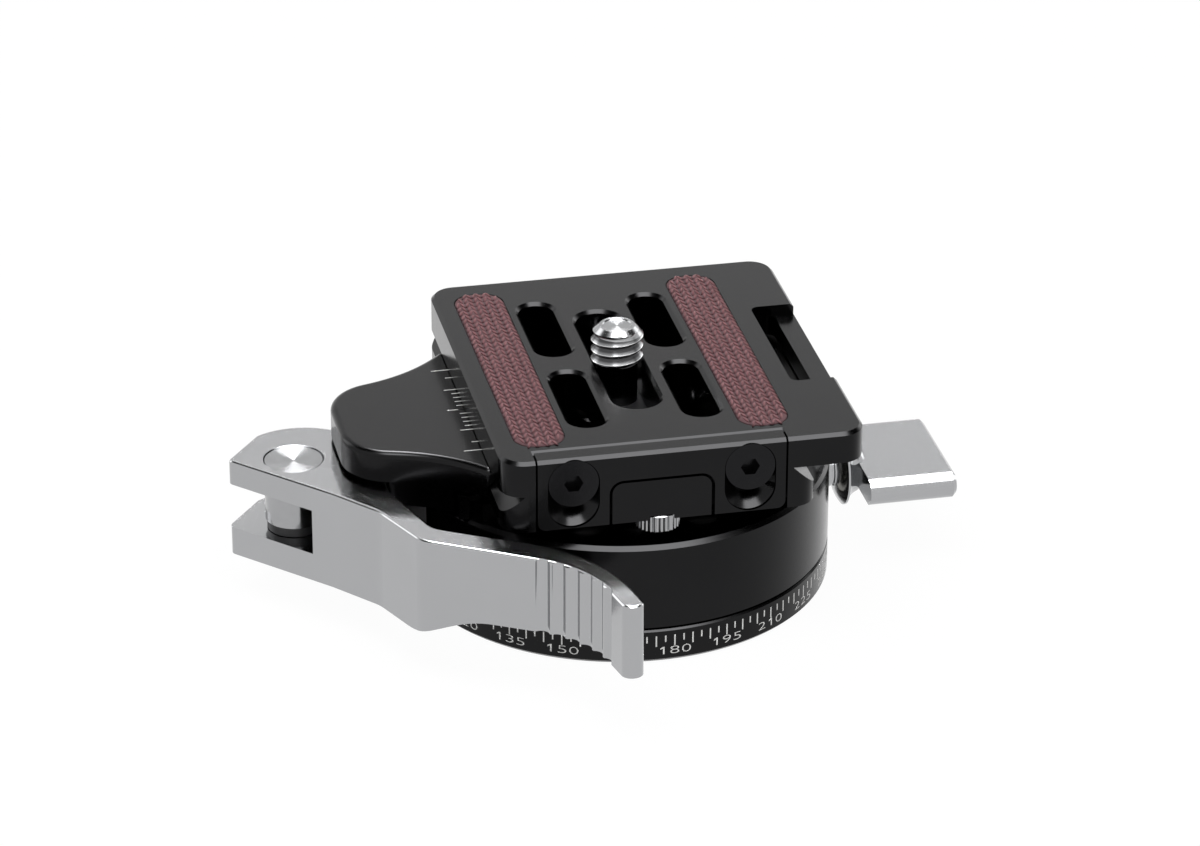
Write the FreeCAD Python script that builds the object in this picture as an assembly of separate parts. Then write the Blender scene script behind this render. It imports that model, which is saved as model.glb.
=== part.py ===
"""Panoramic tripod head: a rotating base under a lever clamp, with a sliding camera plate.

Millimetres.  Z is the pan axis, the origin is on it at the base's underside, the front is -Y,
the clamp lever is on the -X side and the pan lock knob on the +X side.
Each function below makes one node, and the last section writes them all.
"""
import FreeCAD, Part
import math
import os

Vector = FreeCAD.Vector

# ---------------------------------------------------------------- general fits
RUN_FIT = 0.05              # radial clearance of a shaft that turns or slides
BODY_GAP = 0.3              # between parts that move past each other
SLIDE_GAP = 0.15            # between dovetail faces
EDGE = 0.4                  # chamfer on machined edges
FINE_EDGE = 0.2             # chamfer on small parts
OVERSHOOT = 1.0             # how far cutting tools run past a face
NEAR = 1e-4                 # when two places count as the same

# ---------------------------------------------------------------- rotating base
HEAD_RADIUS = 26.0
RING_HEIGHT = 4.3           # the fixed ring that carries the degree dial
SEAM = 0.2                  # open line between ring and drum
DRUM_TOP = 15.6
DRUM_EDGE = 0.5
SPINDLE_RADIUS = 12.0
RETAINER_OVERHANG = 2.6     # how far the plate that holds the drum down reaches over it
RETAINER_THICK = 2.1
GLIDE_THICK = 0.3
THRUST_THICK = 1.0
THRUST_WIDTH = 6.0
THRUST_FROM_SPINDLE = 2.0
TRIPOD_THREAD_RADIUS = 3.97  # 3/8-16 major radius less the thread's depth
TRIPOD_THREAD_DEPTH = 9.0
INSERT_WALL = 2.0
RELIEF_DEPTH = 0.6          # shallow ring under the base, between its two seats
RELIEF_FROM_SPINDLE = 1.5
RELIEF_WIDTH = 7.0

# ---------------------------------------------------------------- screws
M3_RADIUS = 1.5
M3_HEAD_RADIUS = 3.0        # countersunk, 90 degrees
M3_HEX = 2.0
SMALL_SCREW_RADIUS = 1.25
SMALL_HEAD_RADIUS = 2.4
SMALL_HEX = 1.5
HEX_DEPTH = 1.3
HEAD_RIM = 0.25             # straight edge of a countersunk head
SPINDLE_SCREW_LENGTH = 8.0
RETAINER_SCREW_LENGTH = 7.0
BED_SCREW_LENGTH = 9.0
SCREW_SINK = 0.1            # heads sit this far under the face
SPINDLE_SCREW_TURN = 90.0   # degrees of the first screw of each ring
RETAINER_SCREW_TURN = 30.0

# ---------------------------------------------------------------- pan lock
KNOB_Z = 10.0
STEM_RADIUS = 2.25
TIP_RADIUS = 1.8
SHOE_RADIUS = 2.6
SHOE_LENGTH = 3.5
BUSH_RADIUS = 4.2
BUSH_FROM_SHOE = 1.45
NECK_LENGTH = 3.7           # from the drum to the paddle
NECK_RADIUS = 2.3
GROOVE_RADIUS = 2.0
GROOVE_PLACE = 0.45
GROOVE_WIDTH = 0.3
GROOVE_SLOPE = 0.1
BELL_RADIUS = 4.7
BELL_PLACE = 2.07
BELL_BACK = 1.0
BELL_RIM = 0.25
BELL_BACK_CURVE = (0.38, 0.61)   # the curve's middle, as shares of its length and of its rise
BELL_FRONT_CURVE = (0.36, 0.58)
WAIST_RADIUS = 3.2
RUN_OUT = 1.3               # the waist's rounded end on the paddle's flats
RUN_OUT_CURVE = (0.6, 0.34)
PADDLE_LENGTH = 11.0
PADDLE_THICK = 3.44
PADDLE_HALF_SPAN = 8.75
PADDLE_EDGE = 0.45

# ---------------------------------------------------------------- clamp
DOVETAIL_HALF = 19.0        # 38 mm dovetail
FLANGE_HEIGHT = 2.05        # straight side under the slanted face
BED_THICK = 2.65
BED_TOP_GAP = 0.2           # between the bed and the plate
RIGHT_LIP_RISE = 5.2        # from the plate's underside to the overhang
LEFT_LIP_RISE = 4.65
CLAMP_HALF_LENGTH = 16.3
FIXED_JAW_THICK = 5.2
BED_LEFT_WIDTH = 3.4        # how far the bed reaches past the dovetail on the lever's side
BED_LEFT_HALF = 14.55       # half length of its straight edge there
BED_RAIL_GAP = 0.4          # between the dovetail and the rail that the jaw runs over
LIP_REACH = 1.4             # how far a lip reaches over the dovetail
BED_SCREW_XY = 12.7
JAW_TOP_GAP = 0.25
JAW_PLATE_THICK = 3.9
JAW_PAD_THICK = 3.6         # between the drum and the cam
JAW_PAD_HALF = 7.6
JAW_PAD_LOW = 6.0
JAW_PAD_CORNER = 1.2
JAW_NOSE_OVER_PIN = 5.25    # from the pin to the jaw's rounded end
JAW_WAIST_STEP = 5.03       # the waist is this much narrower than the clamp on each side
JAW_NOSE_STEP = 2.9         # and the nose this much narrower than the waist
JAW_WAIST_PLACE = 0.304     # share of the way from the shoulder to the nose
JAW_WAIST_ROUND = 1.29      # corner radii, as shares of that way
JAW_NOSE_ROUND = 0.42
JAW_SHOULDER_RADIUS = 0.9
JAW_EDGE_RADIUS = 0.8
JAW_TRAVEL = 1.7
GUIDE_RADIUS = 0.9
GUIDE_Y = 5.6
GUIDE_IN_BED = 9.9
GUIDE_WALL = 1.3            # left in front of the guide pins at the cam

# ---------------------------------------------------------------- lever and draw-bar
LEVER_HEIGHT = 12.65
FORK_TOP_PRONG = 3.15
FORK_GAP = 5.85
FORK_REACH = 7.9            # radius that the fork's slot is cut to
FORK_SIDE_Y = -3.0          # the slot is open behind this line
CAM_RADIUS = 9.95           # from the pin to the jaw, clamped
CAM_SWING = 100.0           # degrees from clamped to open
CAM_END_ANGLE = 116.0
CAM_GAP = 0.15
CAM_STEPS = 8
LEVER_EDGE = 0.45
HEEL = (-7.9, 1.3, 0.9)     # lever corners: x and y from the pin, and corner radius
HIP = (2.9, -9.9, 4.0)
SHIN = (7.7, -15.6, 5.0)
ELBOW = (11.4, -23.9, 3.5)
GRIP_BEND = (29.07, -34.3, 15.0)
TIP_OUTER = (31.25, -44.5, 1.3)
TIP_INNER = (33.95, -44.5, 1.3)
GRIP_INNER = (31.28, -31.4, 20.0)
ELBOW_INNER = (13.4, -20.8, 3.0)
CAM_HEEL_Y = -10.7          # the cam's straight face ends here
CAM_HEEL_RADIUS = 3.0
ARM_RISE = 3.05             # how far the arm's underside rises after the cam
ARM_END_RISE = 0.3
RAMP_START = 23.2           # from the pin, along the ramp's heading
RAMP_END = 34.2
ARM_REACH = 60.0
RAMP_HEADING = -60.0
FLUTE_RADIUS = 1.1
FLUTE_DEPTH = 0.45
FLUTE_COUNT = 6
FLUTE_PITCH = 8.0           # degrees on the grip's arc
FLUTE_FIRST = 4.0
PIN_HEAD_RADIUS = 3.7
PIN_HEAD_DEPTH = 3.0
PIN_RADIUS = 2.5
PIN_DISH = 0.15
EYE_RADIUS = 3.6
EYE_HEIGHT = 4.0
UPPER_WASHER = 0.45
BAR_RADIUS = 2.0
BAR_HOLE_GAP = 0.3
DOWEL_FROM_RIM = 6.0
DOWEL_RADIUS = 3.5
DOWEL_LOW = 8.8
BAR_END_IN_DOWEL = 2.5
SPRING_RADIUS = 2.75
SPRING_SHEET = 0.2
SPRING_DISCS = 8
SPRING_POCKET_RADIUS = 3.3
SPRING_DRUM_POCKET = 1.6
SPRING_JAW_POCKET = 2.4

# ---------------------------------------------------------------- camera plate
PLATE_HEIGHT = 9.15
PLATE_FRONT = -24.75
PLATE_BACK = 24.85
PLATE_OVERHANG = 5.8        # past the dovetail, on the knob's side
PLATE_CORNER = 3.0
PATTERN_Y = 0.45            # middle of the slots and pads
PAD_X = 13.5
PAD_WIDTH = 6.1
PAD_LENGTH = 42.6
PAD_END_RADIUS = 2.7
PAD_RECESS = 0.6
PAD_PROUD = 0.25
PAD_GAP = 0.08
SLOT_X = 6.97
SLOT_Y = 9.75
SLOT_WIDTH = 4.44
SLOT_LENGTH = 15.2
CENTRE_SLOT_WIDTH = 5.65
CENTRE_SLOT_LENGTH = 27.4
CHANNEL_HALF = 6.0
CHANNEL_HEIGHT = 4.15
CHANNEL_CORNER = 5.8
STRAP_FROM_DOVETAIL = 0.2
STRAP_BAR = 2.5
STRAP_FRONT = -10.0
STRAP_BACK = 11.1
STRAP_RECESS = 1.4
STRAP_RADIUS = 1.0

# ---------------------------------------------------------------- anti-twist flange and screws
FLANGE_HALF = 14.9
FLANGE_THICK = 2.35
FLANGE_UP = 0.05            # from the plate's underside to the flange's
FLANGE_TRAVEL = 2.6
FLANGE_CORNER = 1.0
POCKET_GAP = 0.25
PANEL_GAP = 0.38
FLANGE_SCREW_X = 10.6
FLANGE_SCREW_DOWN = 3.3     # from the plate's top
FLANGE_SCREW_LENGTH = 7.2
TRACK_GAP = 0.1
WINDOW_HALF = 6.35
WINDOW_DOWN = 3.5
WINDOW_RADIUS = 1.7
PANEL_SETBACK = 0.1
STOP_FROM_END = 2.65
STOP_HEAD_RADIUS = 2.7
STOP_HEAD_HEIGHT = 2.5
STOP_HEAD_SUNK = 0.55       # how deep the heads sit in the plate
STOP_LENGTH = 4.0
STOP_HEX = 2.5

# ---------------------------------------------------------------- camera screw
CAMERA_THREAD_RADIUS = 3.175  # 1/4-20 major radius
CAMERA_SCREW_PROUD = 4.5
CAMERA_THREAD_UP = 0.15
CAMERA_NECK_RADIUS = 2.5
CAMERA_HEAD_RADIUS = 5.6
CAMERA_HEAD_THICK = 2.5
CAMERA_HEX = 5.0
CAMERA_HEX_DEPTH = 2.0
CAMERA_TIP = 1.0
CLIP_RADIUS = 4.6
CLIP_THICK = 0.8

# ---------------------------------------------------------------- derived places
DRUM_BOTTOM = RING_HEIGHT + SEAM
INSERT_RADIUS = TRIPOD_THREAD_RADIUS + INSERT_WALL
SCREW_CIRCLE = (INSERT_RADIUS + SPINDLE_RADIUS) / 2
RETAINER_RADIUS = SPINDLE_RADIUS + RETAINER_OVERHANG
RETAINER_TOP = DRUM_TOP - BODY_GAP
RETAINER_LOW = RETAINER_TOP - RETAINER_THICK
DRUM_LEDGE = RETAINER_LOW - GLIDE_THICK
THRUST_INNER = SPINDLE_RADIUS + THRUST_FROM_SPINDLE
THRUST_OUTER = THRUST_INNER + THRUST_WIDTH
SHOE_END_X = SPINDLE_RADIUS + RUN_FIT + SHOE_LENGTH
BUSH_INNER_X = SHOE_END_X + BUSH_FROM_SHOE
NECK_START_X = HEAD_RADIUS + BODY_GAP
PADDLE_INNER_X = NECK_START_X + NECK_LENGTH
PADDLE_OUTER_X = PADDLE_INNER_X + PADDLE_LENGTH
BED_TOP = DRUM_TOP + BED_THICK
BED_RADIUS = HEAD_RADIUS - BODY_GAP
BED_LEFT_X = -DOVETAIL_HALF - BED_LEFT_WIDTH
BED_MIDDLE = DRUM_TOP + BED_THICK / 2
FIXED_JAW_X = DOVETAIL_HALF + FIXED_JAW_THICK
PLATE_BOTTOM = BED_TOP + BED_TOP_GAP
PLATE_TOP = PLATE_BOTTOM + PLATE_HEIGHT
PLATE_RIGHT = DOVETAIL_HALF + PLATE_OVERHANG
FLANGE_TOP = PLATE_BOTTOM + FLANGE_HEIGHT
RIGHT_LIP_Z = PLATE_BOTTOM + RIGHT_LIP_RISE
LEFT_LIP_Z = PLATE_BOTTOM + LEFT_LIP_RISE
JAW_TOP = LEFT_LIP_Z - JAW_TOP_GAP
JAW_PLATE_LOW = JAW_TOP - JAW_PLATE_THICK
JAW_BODY_RIGHT = BED_LEFT_X - BODY_GAP
CAM_FACE_X = -HEAD_RADIUS - BODY_GAP - JAW_PAD_THICK
PIVOT_X = CAM_FACE_X - CAM_GAP - CAM_RADIUS
LEVER_TOP = PLATE_BOTTOM - SLIDE_GAP
LEVER_LOW = LEVER_TOP - LEVER_HEIGHT
FORK_HIGH = LEVER_TOP - FORK_TOP_PRONG
FORK_LOW = FORK_HIGH - FORK_GAP
ARM_LOW = LEVER_LOW + ARM_RISE
BAR_Z = FORK_HIGH - UPPER_WASHER - 2 * RUN_FIT - EYE_HEIGHT / 2
DOWEL_X = -HEAD_RADIUS + DOWEL_FROM_RIM
JAW_POCKET_X = -HEAD_RADIUS - BODY_GAP - SPRING_JAW_POCKET
GUIDE_OUTER_X = CAM_FACE_X + GUIDE_WALL
GUIDE_INNER_X = BED_LEFT_X + GUIDE_IN_BED
FLANGE_BACK = PLATE_FRONT + FLANGE_THICK
POCKET_BACK = FLANGE_BACK + POCKET_GAP
WINDOW_TOP = PLATE_TOP - WINDOW_DOWN
STOP_HEAD_TOP = PLATE_BOTTOM + STOP_HEAD_SUNK
STOP_HEAD_LOW = STOP_HEAD_TOP - STOP_HEAD_HEIGHT
CHANNEL_TOP = PLATE_BOTTOM + CHANNEL_HEIGHT
CLIP_LOW = CHANNEL_TOP - BODY_GAP - CLIP_THICK
CAMERA_HEAD_TOP = CLIP_LOW - 2 * RUN_FIT
CAMERA_HEAD_LOW = CAMERA_HEAD_TOP - CAMERA_HEAD_THICK
CAMERA_THREAD_LOW = PLATE_TOP + CAMERA_THREAD_UP
CAMERA_SCREW_TOP = PLATE_TOP + CAMERA_SCREW_PROUD
CAMERA_TRAVEL = (CENTRE_SLOT_LENGTH - CENTRE_SLOT_WIDTH) / 2


# ================================================================ shape helpers
def disc(radius, low, high, x=0.0, y=0.0):
    """An upright cylinder."""
    return Part.makeCylinder(radius, high - low, Vector(x, y, low))


def ring(outer, inner, low, high, x=0.0, y=0.0):
    """An upright tube."""
    return disc(outer, low, high, x, y).cut(disc(inner, low - OVERSHOOT, high + OVERSHOOT, x, y))


def box(x_low, x_high, y_low, y_high, z_low, z_high):
    """A box given by its limits."""
    return Part.makeBox(x_high - x_low, y_high - y_low, z_high - z_low, Vector(x_low, y_low, z_low))


def rod_x(radius, x_low, x_high, y, z):
    """A cylinder along X."""
    return Part.makeCylinder(radius, x_high - x_low, Vector(x_low, y, z), Vector(1, 0, 0))


def path_edges(corners, closed):
    """Lines through (x, y, radius) corners, with a tangent arc at each corner that has a radius."""
    points = [Vector(x, y, 0) for x, y, _ in corners]
    radii = [radius for _, _, radius in corners]
    count = len(points)
    starts = []
    ends = []
    arcs = []
    for index, point in enumerate(points):
        is_end = not closed and index in (0, count - 1)
        if is_end or radii[index] == 0:
            starts.append(point)
            ends.append(point)
            arcs.append(None)
            continue
        back = (points[index - 1] - point).normalize()
        ahead = (points[(index + 1) % count] - point).normalize()
        half = back.getAngle(ahead) / 2
        reach = radii[index] / math.tan(half)
        middle_way = (back + ahead).normalize()
        middle = point + middle_way * (radii[index] / math.sin(half) - radii[index])
        starts.append(point + back * reach)
        ends.append(point + ahead * reach)
        arcs.append(middle)
    edges = []
    for index in range(count):
        if arcs[index]:
            edges.append(Part.Arc(starts[index], arcs[index], ends[index]).toShape())
        if index < count - 1 or closed:
            following = starts[(index + 1) % count]
            if ends[index].distanceToPoint(following) > NEAR:
                edges.append(Part.LineSegment(ends[index], following).toShape())
    return edges


def prism(corners, low, high):
    """An upright solid over a rounded polygon of (x, y, radius) corners."""
    face = Part.Face(Part.Wire(path_edges(corners, True)))
    face.translate(Vector(0, 0, low))
    return face.extrude(Vector(0, 0, high - low))


def rounded_box(x_low, x_high, y_low, y_high, z_low, z_high, radius):
    """A box with rounded upright edges."""
    corners = [(x_low, y_low, radius), (x_high, y_low, radius),
               (x_high, y_high, radius), (x_low, y_high, radius)]
    return prism(corners, z_low, z_high)


def slot(x, y, width, length, low, high):
    """A round-ended opening that runs along Y."""
    half = width / 2
    straight = length / 2 - half
    body = box(x - half, x + half, y - straight, y + straight, low, high)
    ends = [disc(half, low, high, x, y + side * straight) for side in (-1, 1)]
    return body.fuse(ends).removeSplitter()


def section_along_y(points, y_low, y_high):
    """A solid with a polygon section in X and Z."""
    wire = Part.makePolygon([Vector(x, y_low, z) for x, z in points + points[:1]])
    return Part.Face(wire).extrude(Vector(0, y_high - y_low, 0))


def turned(profile, centre=Vector(0, 0, 0), axis=Vector(0, 0, 1)):
    """A solid turned about an axis, from (along, radius) points that start and end on the axis."""
    wire = Part.makePolygon([Vector(radius, 0, along) for along, radius in profile + profile[:1]])
    solid = Part.Face(wire).revolve(Vector(0, 0, 0), Vector(0, 0, 1), 360)
    solid.Placement = FreeCAD.Placement(centre, FreeCAD.Rotation(Vector(0, 0, 1), axis))
    return solid


def hexagon(across, length, position, axis):
    """A six-sided socket tool that starts at a position and runs along an axis."""
    corner = across / math.sqrt(3)
    turns = [math.radians(60 * turn) for turn in range(7)]
    points = [Vector(corner * math.cos(turn), corner * math.sin(turn), 0) for turn in turns]
    solid = Part.Face(Part.makePolygon(points)).extrude(Vector(0, 0, length))
    solid.Placement = FreeCAD.Placement(position, FreeCAD.Rotation(Vector(0, 0, 1), axis))
    return solid


def countersunk_profile(radius, head_radius, length, gap=0.0):
    """Half section of a 90 degree countersunk screw, its face at 0 and its shank below."""
    cone = head_radius - radius
    return [(0, 0), (0, head_radius + gap), (-HEAD_RIM - gap, head_radius + gap),
            (-HEAD_RIM - gap - cone, radius + gap), (-length, radius + gap), (-length, 0)]


def countersunk_screw(radius, head_radius, length, hex_across, position, outward):
    """A countersunk screw whose face stands at a position and looks outward."""
    body = turned(countersunk_profile(radius, head_radius, length), position, outward)
    socket = hexagon(hex_across, HEX_DEPTH + OVERSHOOT, position + outward * OVERSHOOT, outward * -1)
    return body.cut(socket)


def countersunk_hole(radius, head_radius, length, position, outward):
    """The seat of a countersunk screw, open above its face."""
    seat = turned(countersunk_profile(radius, head_radius, length), position, outward)
    mouth = Part.makeCylinder(head_radius, OVERSHOOT, position, outward)
    return seat.fuse(mouth)


def around(count, radius, first_degrees=0.0):
    """Points evenly spaced on a circle about the pan axis."""
    return [(radius * math.cos(math.radians(first_degrees + 360 * index / count)),
             radius * math.sin(math.radians(first_degrees + 360 * index / count))) for index in range(count)]


def edges_at(shape, height, keep=lambda edge: True):
    """The edges of a shape that lie flat at one height."""
    found = []
    for edge in shape.Edges:
        limits = edge.BoundBox
        if abs(limits.ZMin - height) < NEAR and abs(limits.ZMax - height) < NEAR and keep(edge):
            found.append(edge)
    return found


def group(solids):
    """Several separate solids as one node."""
    return Part.Compound(solids)


# ================================================================ rotating base
def spindle_screw_places():
    return [Vector(x, y, SCREW_SINK) for x, y in around(3, SCREW_CIRCLE, SPINDLE_SCREW_TURN)]


def retainer_screw_places():
    return [Vector(x, y, RETAINER_TOP - SCREW_SINK) for x, y in around(3, SCREW_CIRCLE, RETAINER_SCREW_TURN)]


def make_base_ring():
    """The fixed ring: its side carries the degree dial, its underside rests on the tripod."""
    body = disc(HEAD_RADIUS, 0, RING_HEIGHT)
    body = body.makeChamfer(EDGE, edges_at(body, 0))
    body = body.makeChamfer(FINE_EDGE, edges_at(body, RING_HEIGHT))
    relief_inner = SPINDLE_RADIUS + RELIEF_FROM_SPINDLE
    cuts = [disc(INSERT_RADIUS, -OVERSHOOT, RING_HEIGHT + OVERSHOOT),
            ring(relief_inner + RELIEF_WIDTH, relief_inner, -OVERSHOOT, RELIEF_DEPTH)]
    for place in spindle_screw_places():
        cuts.append(countersunk_hole(SMALL_SCREW_RADIUS, SMALL_HEAD_RADIUS, SPINDLE_SCREW_LENGTH,
                                     place, Vector(0, 0, -1)))
    return body.cut(cuts)


def make_tripod_insert():
    """Steel bush with the tripod thread."""
    body = disc(INSERT_RADIUS, 0, TRIPOD_THREAD_DEPTH)
    body = body.makeChamfer(FINE_EDGE, edges_at(body, 0))
    bore = disc(TRIPOD_THREAD_RADIUS, -OVERSHOOT, TRIPOD_THREAD_DEPTH + OVERSHOOT)
    return body.cut(bore)


def make_spindle():
    """The post that the drum turns on."""
    body = disc(SPINDLE_RADIUS, RING_HEIGHT, RETAINER_LOW)
    body = body.makeChamfer(FINE_EDGE, edges_at(body, RETAINER_LOW))
    cuts = [disc(INSERT_RADIUS, 0, TRIPOD_THREAD_DEPTH)]
    for place in spindle_screw_places():
        cuts.append(disc(SMALL_SCREW_RADIUS, 0, place.z + SPINDLE_SCREW_LENGTH, place.x, place.y))
    for place in retainer_screw_places():
        cuts.append(disc(M3_RADIUS, place.z - RETAINER_SCREW_LENGTH, RETAINER_TOP, place.x, place.y))
    return body.cut(cuts)


def make_spindle_screws():
    return group([countersunk_screw(SMALL_SCREW_RADIUS, SMALL_HEAD_RADIUS, SPINDLE_SCREW_LENGTH, SMALL_HEX,
                                    place, Vector(0, 0, -1)) for place in spindle_screw_places()])


def make_thrust_washer():
    """Plastic bearing ring between the fixed ring and the drum."""
    return ring(THRUST_OUTER, THRUST_INNER, RING_HEIGHT, RING_HEIGHT + THRUST_THICK)


def make_retainer():
    """The plate on top of the spindle that holds the drum down."""
    body = disc(RETAINER_RADIUS, RETAINER_LOW, RETAINER_TOP)
    body = body.makeChamfer(FINE_EDGE, edges_at(body, RETAINER_TOP))
    holes = [countersunk_hole(M3_RADIUS, M3_HEAD_RADIUS, RETAINER_SCREW_LENGTH, place, Vector(0, 0, 1))
             for place in retainer_screw_places()]
    return body.cut(holes)


def make_retainer_screws():
    return group([countersunk_screw(M3_RADIUS, M3_HEAD_RADIUS, RETAINER_SCREW_LENGTH, M3_HEX,
                                    place, Vector(0, 0, 1)) for place in retainer_screw_places()])


def make_glide_washer():
    """Thin plastic ring between the retainer and the drum's ledge."""
    return ring(RETAINER_RADIUS, SPINDLE_RADIUS + RUN_FIT, DRUM_LEDGE + RUN_FIT, RETAINER_LOW)


# ================================================================ drum and pan lock
def make_drum():
    """The rotating housing."""
    body = disc(HEAD_RADIUS, DRUM_BOTTOM, DRUM_TOP)
    body = body.makeChamfer(DRUM_EDGE, edges_at(body, DRUM_TOP))
    body = body.makeChamfer(FINE_EDGE, edges_at(body, DRUM_BOTTOM))
    cuts = [
        disc(SPINDLE_RADIUS + RUN_FIT, 0, DRUM_TOP),
        disc(RETAINER_RADIUS + BODY_GAP, DRUM_LEDGE, DRUM_TOP + OVERSHOOT),
        ring(THRUST_OUTER + BODY_GAP, THRUST_INNER - BODY_GAP, 0, RING_HEIGHT + THRUST_THICK + RUN_FIT),
        rod_x(SHOE_RADIUS + RUN_FIT, SPINDLE_RADIUS - SHOE_RADIUS, BUSH_INNER_X + OVERSHOOT, 0, KNOB_Z),
        rod_x(BUSH_RADIUS, BUSH_INNER_X, HEAD_RADIUS + OVERSHOOT, 0, KNOB_Z),
        disc(DOWEL_RADIUS, DOWEL_LOW, DRUM_TOP + OVERSHOOT, DOWEL_X),
        rod_x(BAR_RADIUS, -HEAD_RADIUS - OVERSHOOT, DOWEL_X, 0, BAR_Z),
        rod_x(SPRING_POCKET_RADIUS, -HEAD_RADIUS - OVERSHOOT, -HEAD_RADIUS + SPRING_DRUM_POCKET, 0, BAR_Z),
    ]
    for place in bed_screw_places():
        cuts.append(disc(M3_RADIUS, place.z - BED_SCREW_LENGTH, DRUM_TOP + OVERSHOOT, place.x, place.y))
    return body.cut(cuts)


def make_knob_bush():
    """Brass bush that the lock's stem is screwed through."""
    length_end = math.sqrt(HEAD_RADIUS ** 2 - BUSH_RADIUS ** 2)
    body = rod_x(BUSH_RADIUS, BUSH_INNER_X, length_end, 0, KNOB_Z)
    return body.cut(rod_x(STEM_RADIUS + RUN_FIT, BUSH_INNER_X - OVERSHOOT, length_end + OVERSHOOT, 0, KNOB_Z))


def make_brake_shoe():
    """Brass shoe with a hollow face that the stem presses on the spindle."""
    body = rod_x(SHOE_RADIUS, SPINDLE_RADIUS - SHOE_RADIUS, SHOE_END_X, 0, KNOB_Z)
    return body.cut(disc(SPINDLE_RADIUS + RUN_FIT, 0, DRUM_TOP))


def bent_edge(start, end, shares):
    """An arc between two profile points, whose middle is at shares of the way along and across."""
    way = end - start
    return Part.Arc(start, start + Vector(way.x * shares[0], way.y * shares[1], 0), end).toShape()


def knob_profile():
    """Half section of the knob's turned part: stem, grooved collar, round bell and waist."""
    tip_start = SHOE_END_X + BODY_GAP
    tip_end = BUSH_INNER_X + BODY_GAP
    groove = NECK_START_X + GROOVE_PLACE
    bell_x = NECK_START_X + BELL_PLACE
    lines = [
        (tip_start, 0), (tip_start, TIP_RADIUS), (tip_end, TIP_RADIUS), (tip_end, STEM_RADIUS),
        (NECK_START_X, STEM_RADIUS), (NECK_START_X, NECK_RADIUS), (groove, NECK_RADIUS),
        (groove + GROOVE_SLOPE, GROOVE_RADIUS), (groove + GROOVE_WIDTH, GROOVE_RADIUS),
        (groove + GROOVE_WIDTH + GROOVE_SLOPE, NECK_RADIUS), (bell_x - BELL_BACK, NECK_RADIUS),
    ]
    points = [Vector(x, radius, 0) for x, radius in lines]
    rim_start = Vector(bell_x - BELL_RIM / 2, BELL_RADIUS, 0)
    rim_end = Vector(bell_x + BELL_RIM / 2, BELL_RADIUS, 0)
    waist = Vector(PADDLE_INNER_X, WAIST_RADIUS, 0)
    flat_end = Vector(PADDLE_INNER_X + RUN_OUT, PADDLE_THICK / 2 - FINE_EDGE, 0)
    axis_end = Vector(flat_end.x, 0, 0)
    edges = [Part.LineSegment(first, second).toShape() for first, second in zip(points, points[1:])]
    edges.append(bent_edge(points[-1], rim_start, BELL_BACK_CURVE))
    edges.append(Part.LineSegment(rim_start, rim_end).toShape())
    edges.append(bent_edge(rim_end, waist, BELL_FRONT_CURVE))
    edges.append(bent_edge(waist, flat_end, RUN_OUT_CURVE))
    edges.append(Part.LineSegment(flat_end, axis_end).toShape())
    edges.append(Part.LineSegment(axis_end, points[0]).toShape())
    return Part.Wire(edges)


def make_pan_knob():
    """Paddle knob: a turned neck with a round bell and a waist, and a flat round-edged paddle."""
    neck = Part.Face(knob_profile()).revolve(Vector(0, 0, 0), Vector(1, 0, 0), 360)
    neck.translate(Vector(0, 0, KNOB_Z))
    half = PADDLE_THICK / 2
    flat = PADDLE_HALF_SPAN - half
    paddle = box(PADDLE_INNER_X, PADDLE_OUTER_X, -flat, flat, KNOB_Z - half, KNOB_Z + half)
    paddle = paddle.fuse([rod_x(half, PADDLE_INNER_X, PADDLE_OUTER_X, side * flat, KNOB_Z)
                          for side in (-1, 1)])
    paddle = paddle.removeSplitter()
    outer_edges = [edge for edge in paddle.Edges if edge.BoundBox.XMin > PADDLE_OUTER_X - NEAR]
    paddle = paddle.makeChamfer(PADDLE_EDGE, outer_edges)
    return neck.fuse(paddle)


# ================================================================ clamp
def bed_screw_places():
    height = BED_TOP - SCREW_SINK
    return [Vector(x * BED_SCREW_XY, y * BED_SCREW_XY, height) for x in (-1, 1) for y in (-1, 1)]


def lip_line(side):
    """Root and tip of a lip's slanted face, which follows the dovetail's slanted face."""
    rise = SLIDE_GAP * math.sqrt(2)
    root_x = DOVETAIL_HALF + BED_TOP_GAP
    root = (side * root_x, FLANGE_TOP + rise + DOVETAIL_HALF - root_x)
    tip_x = DOVETAIL_HALF - LIP_REACH
    tip = (side * tip_x, FLANGE_TOP + rise + DOVETAIL_HALF - tip_x)
    return root, tip


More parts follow.
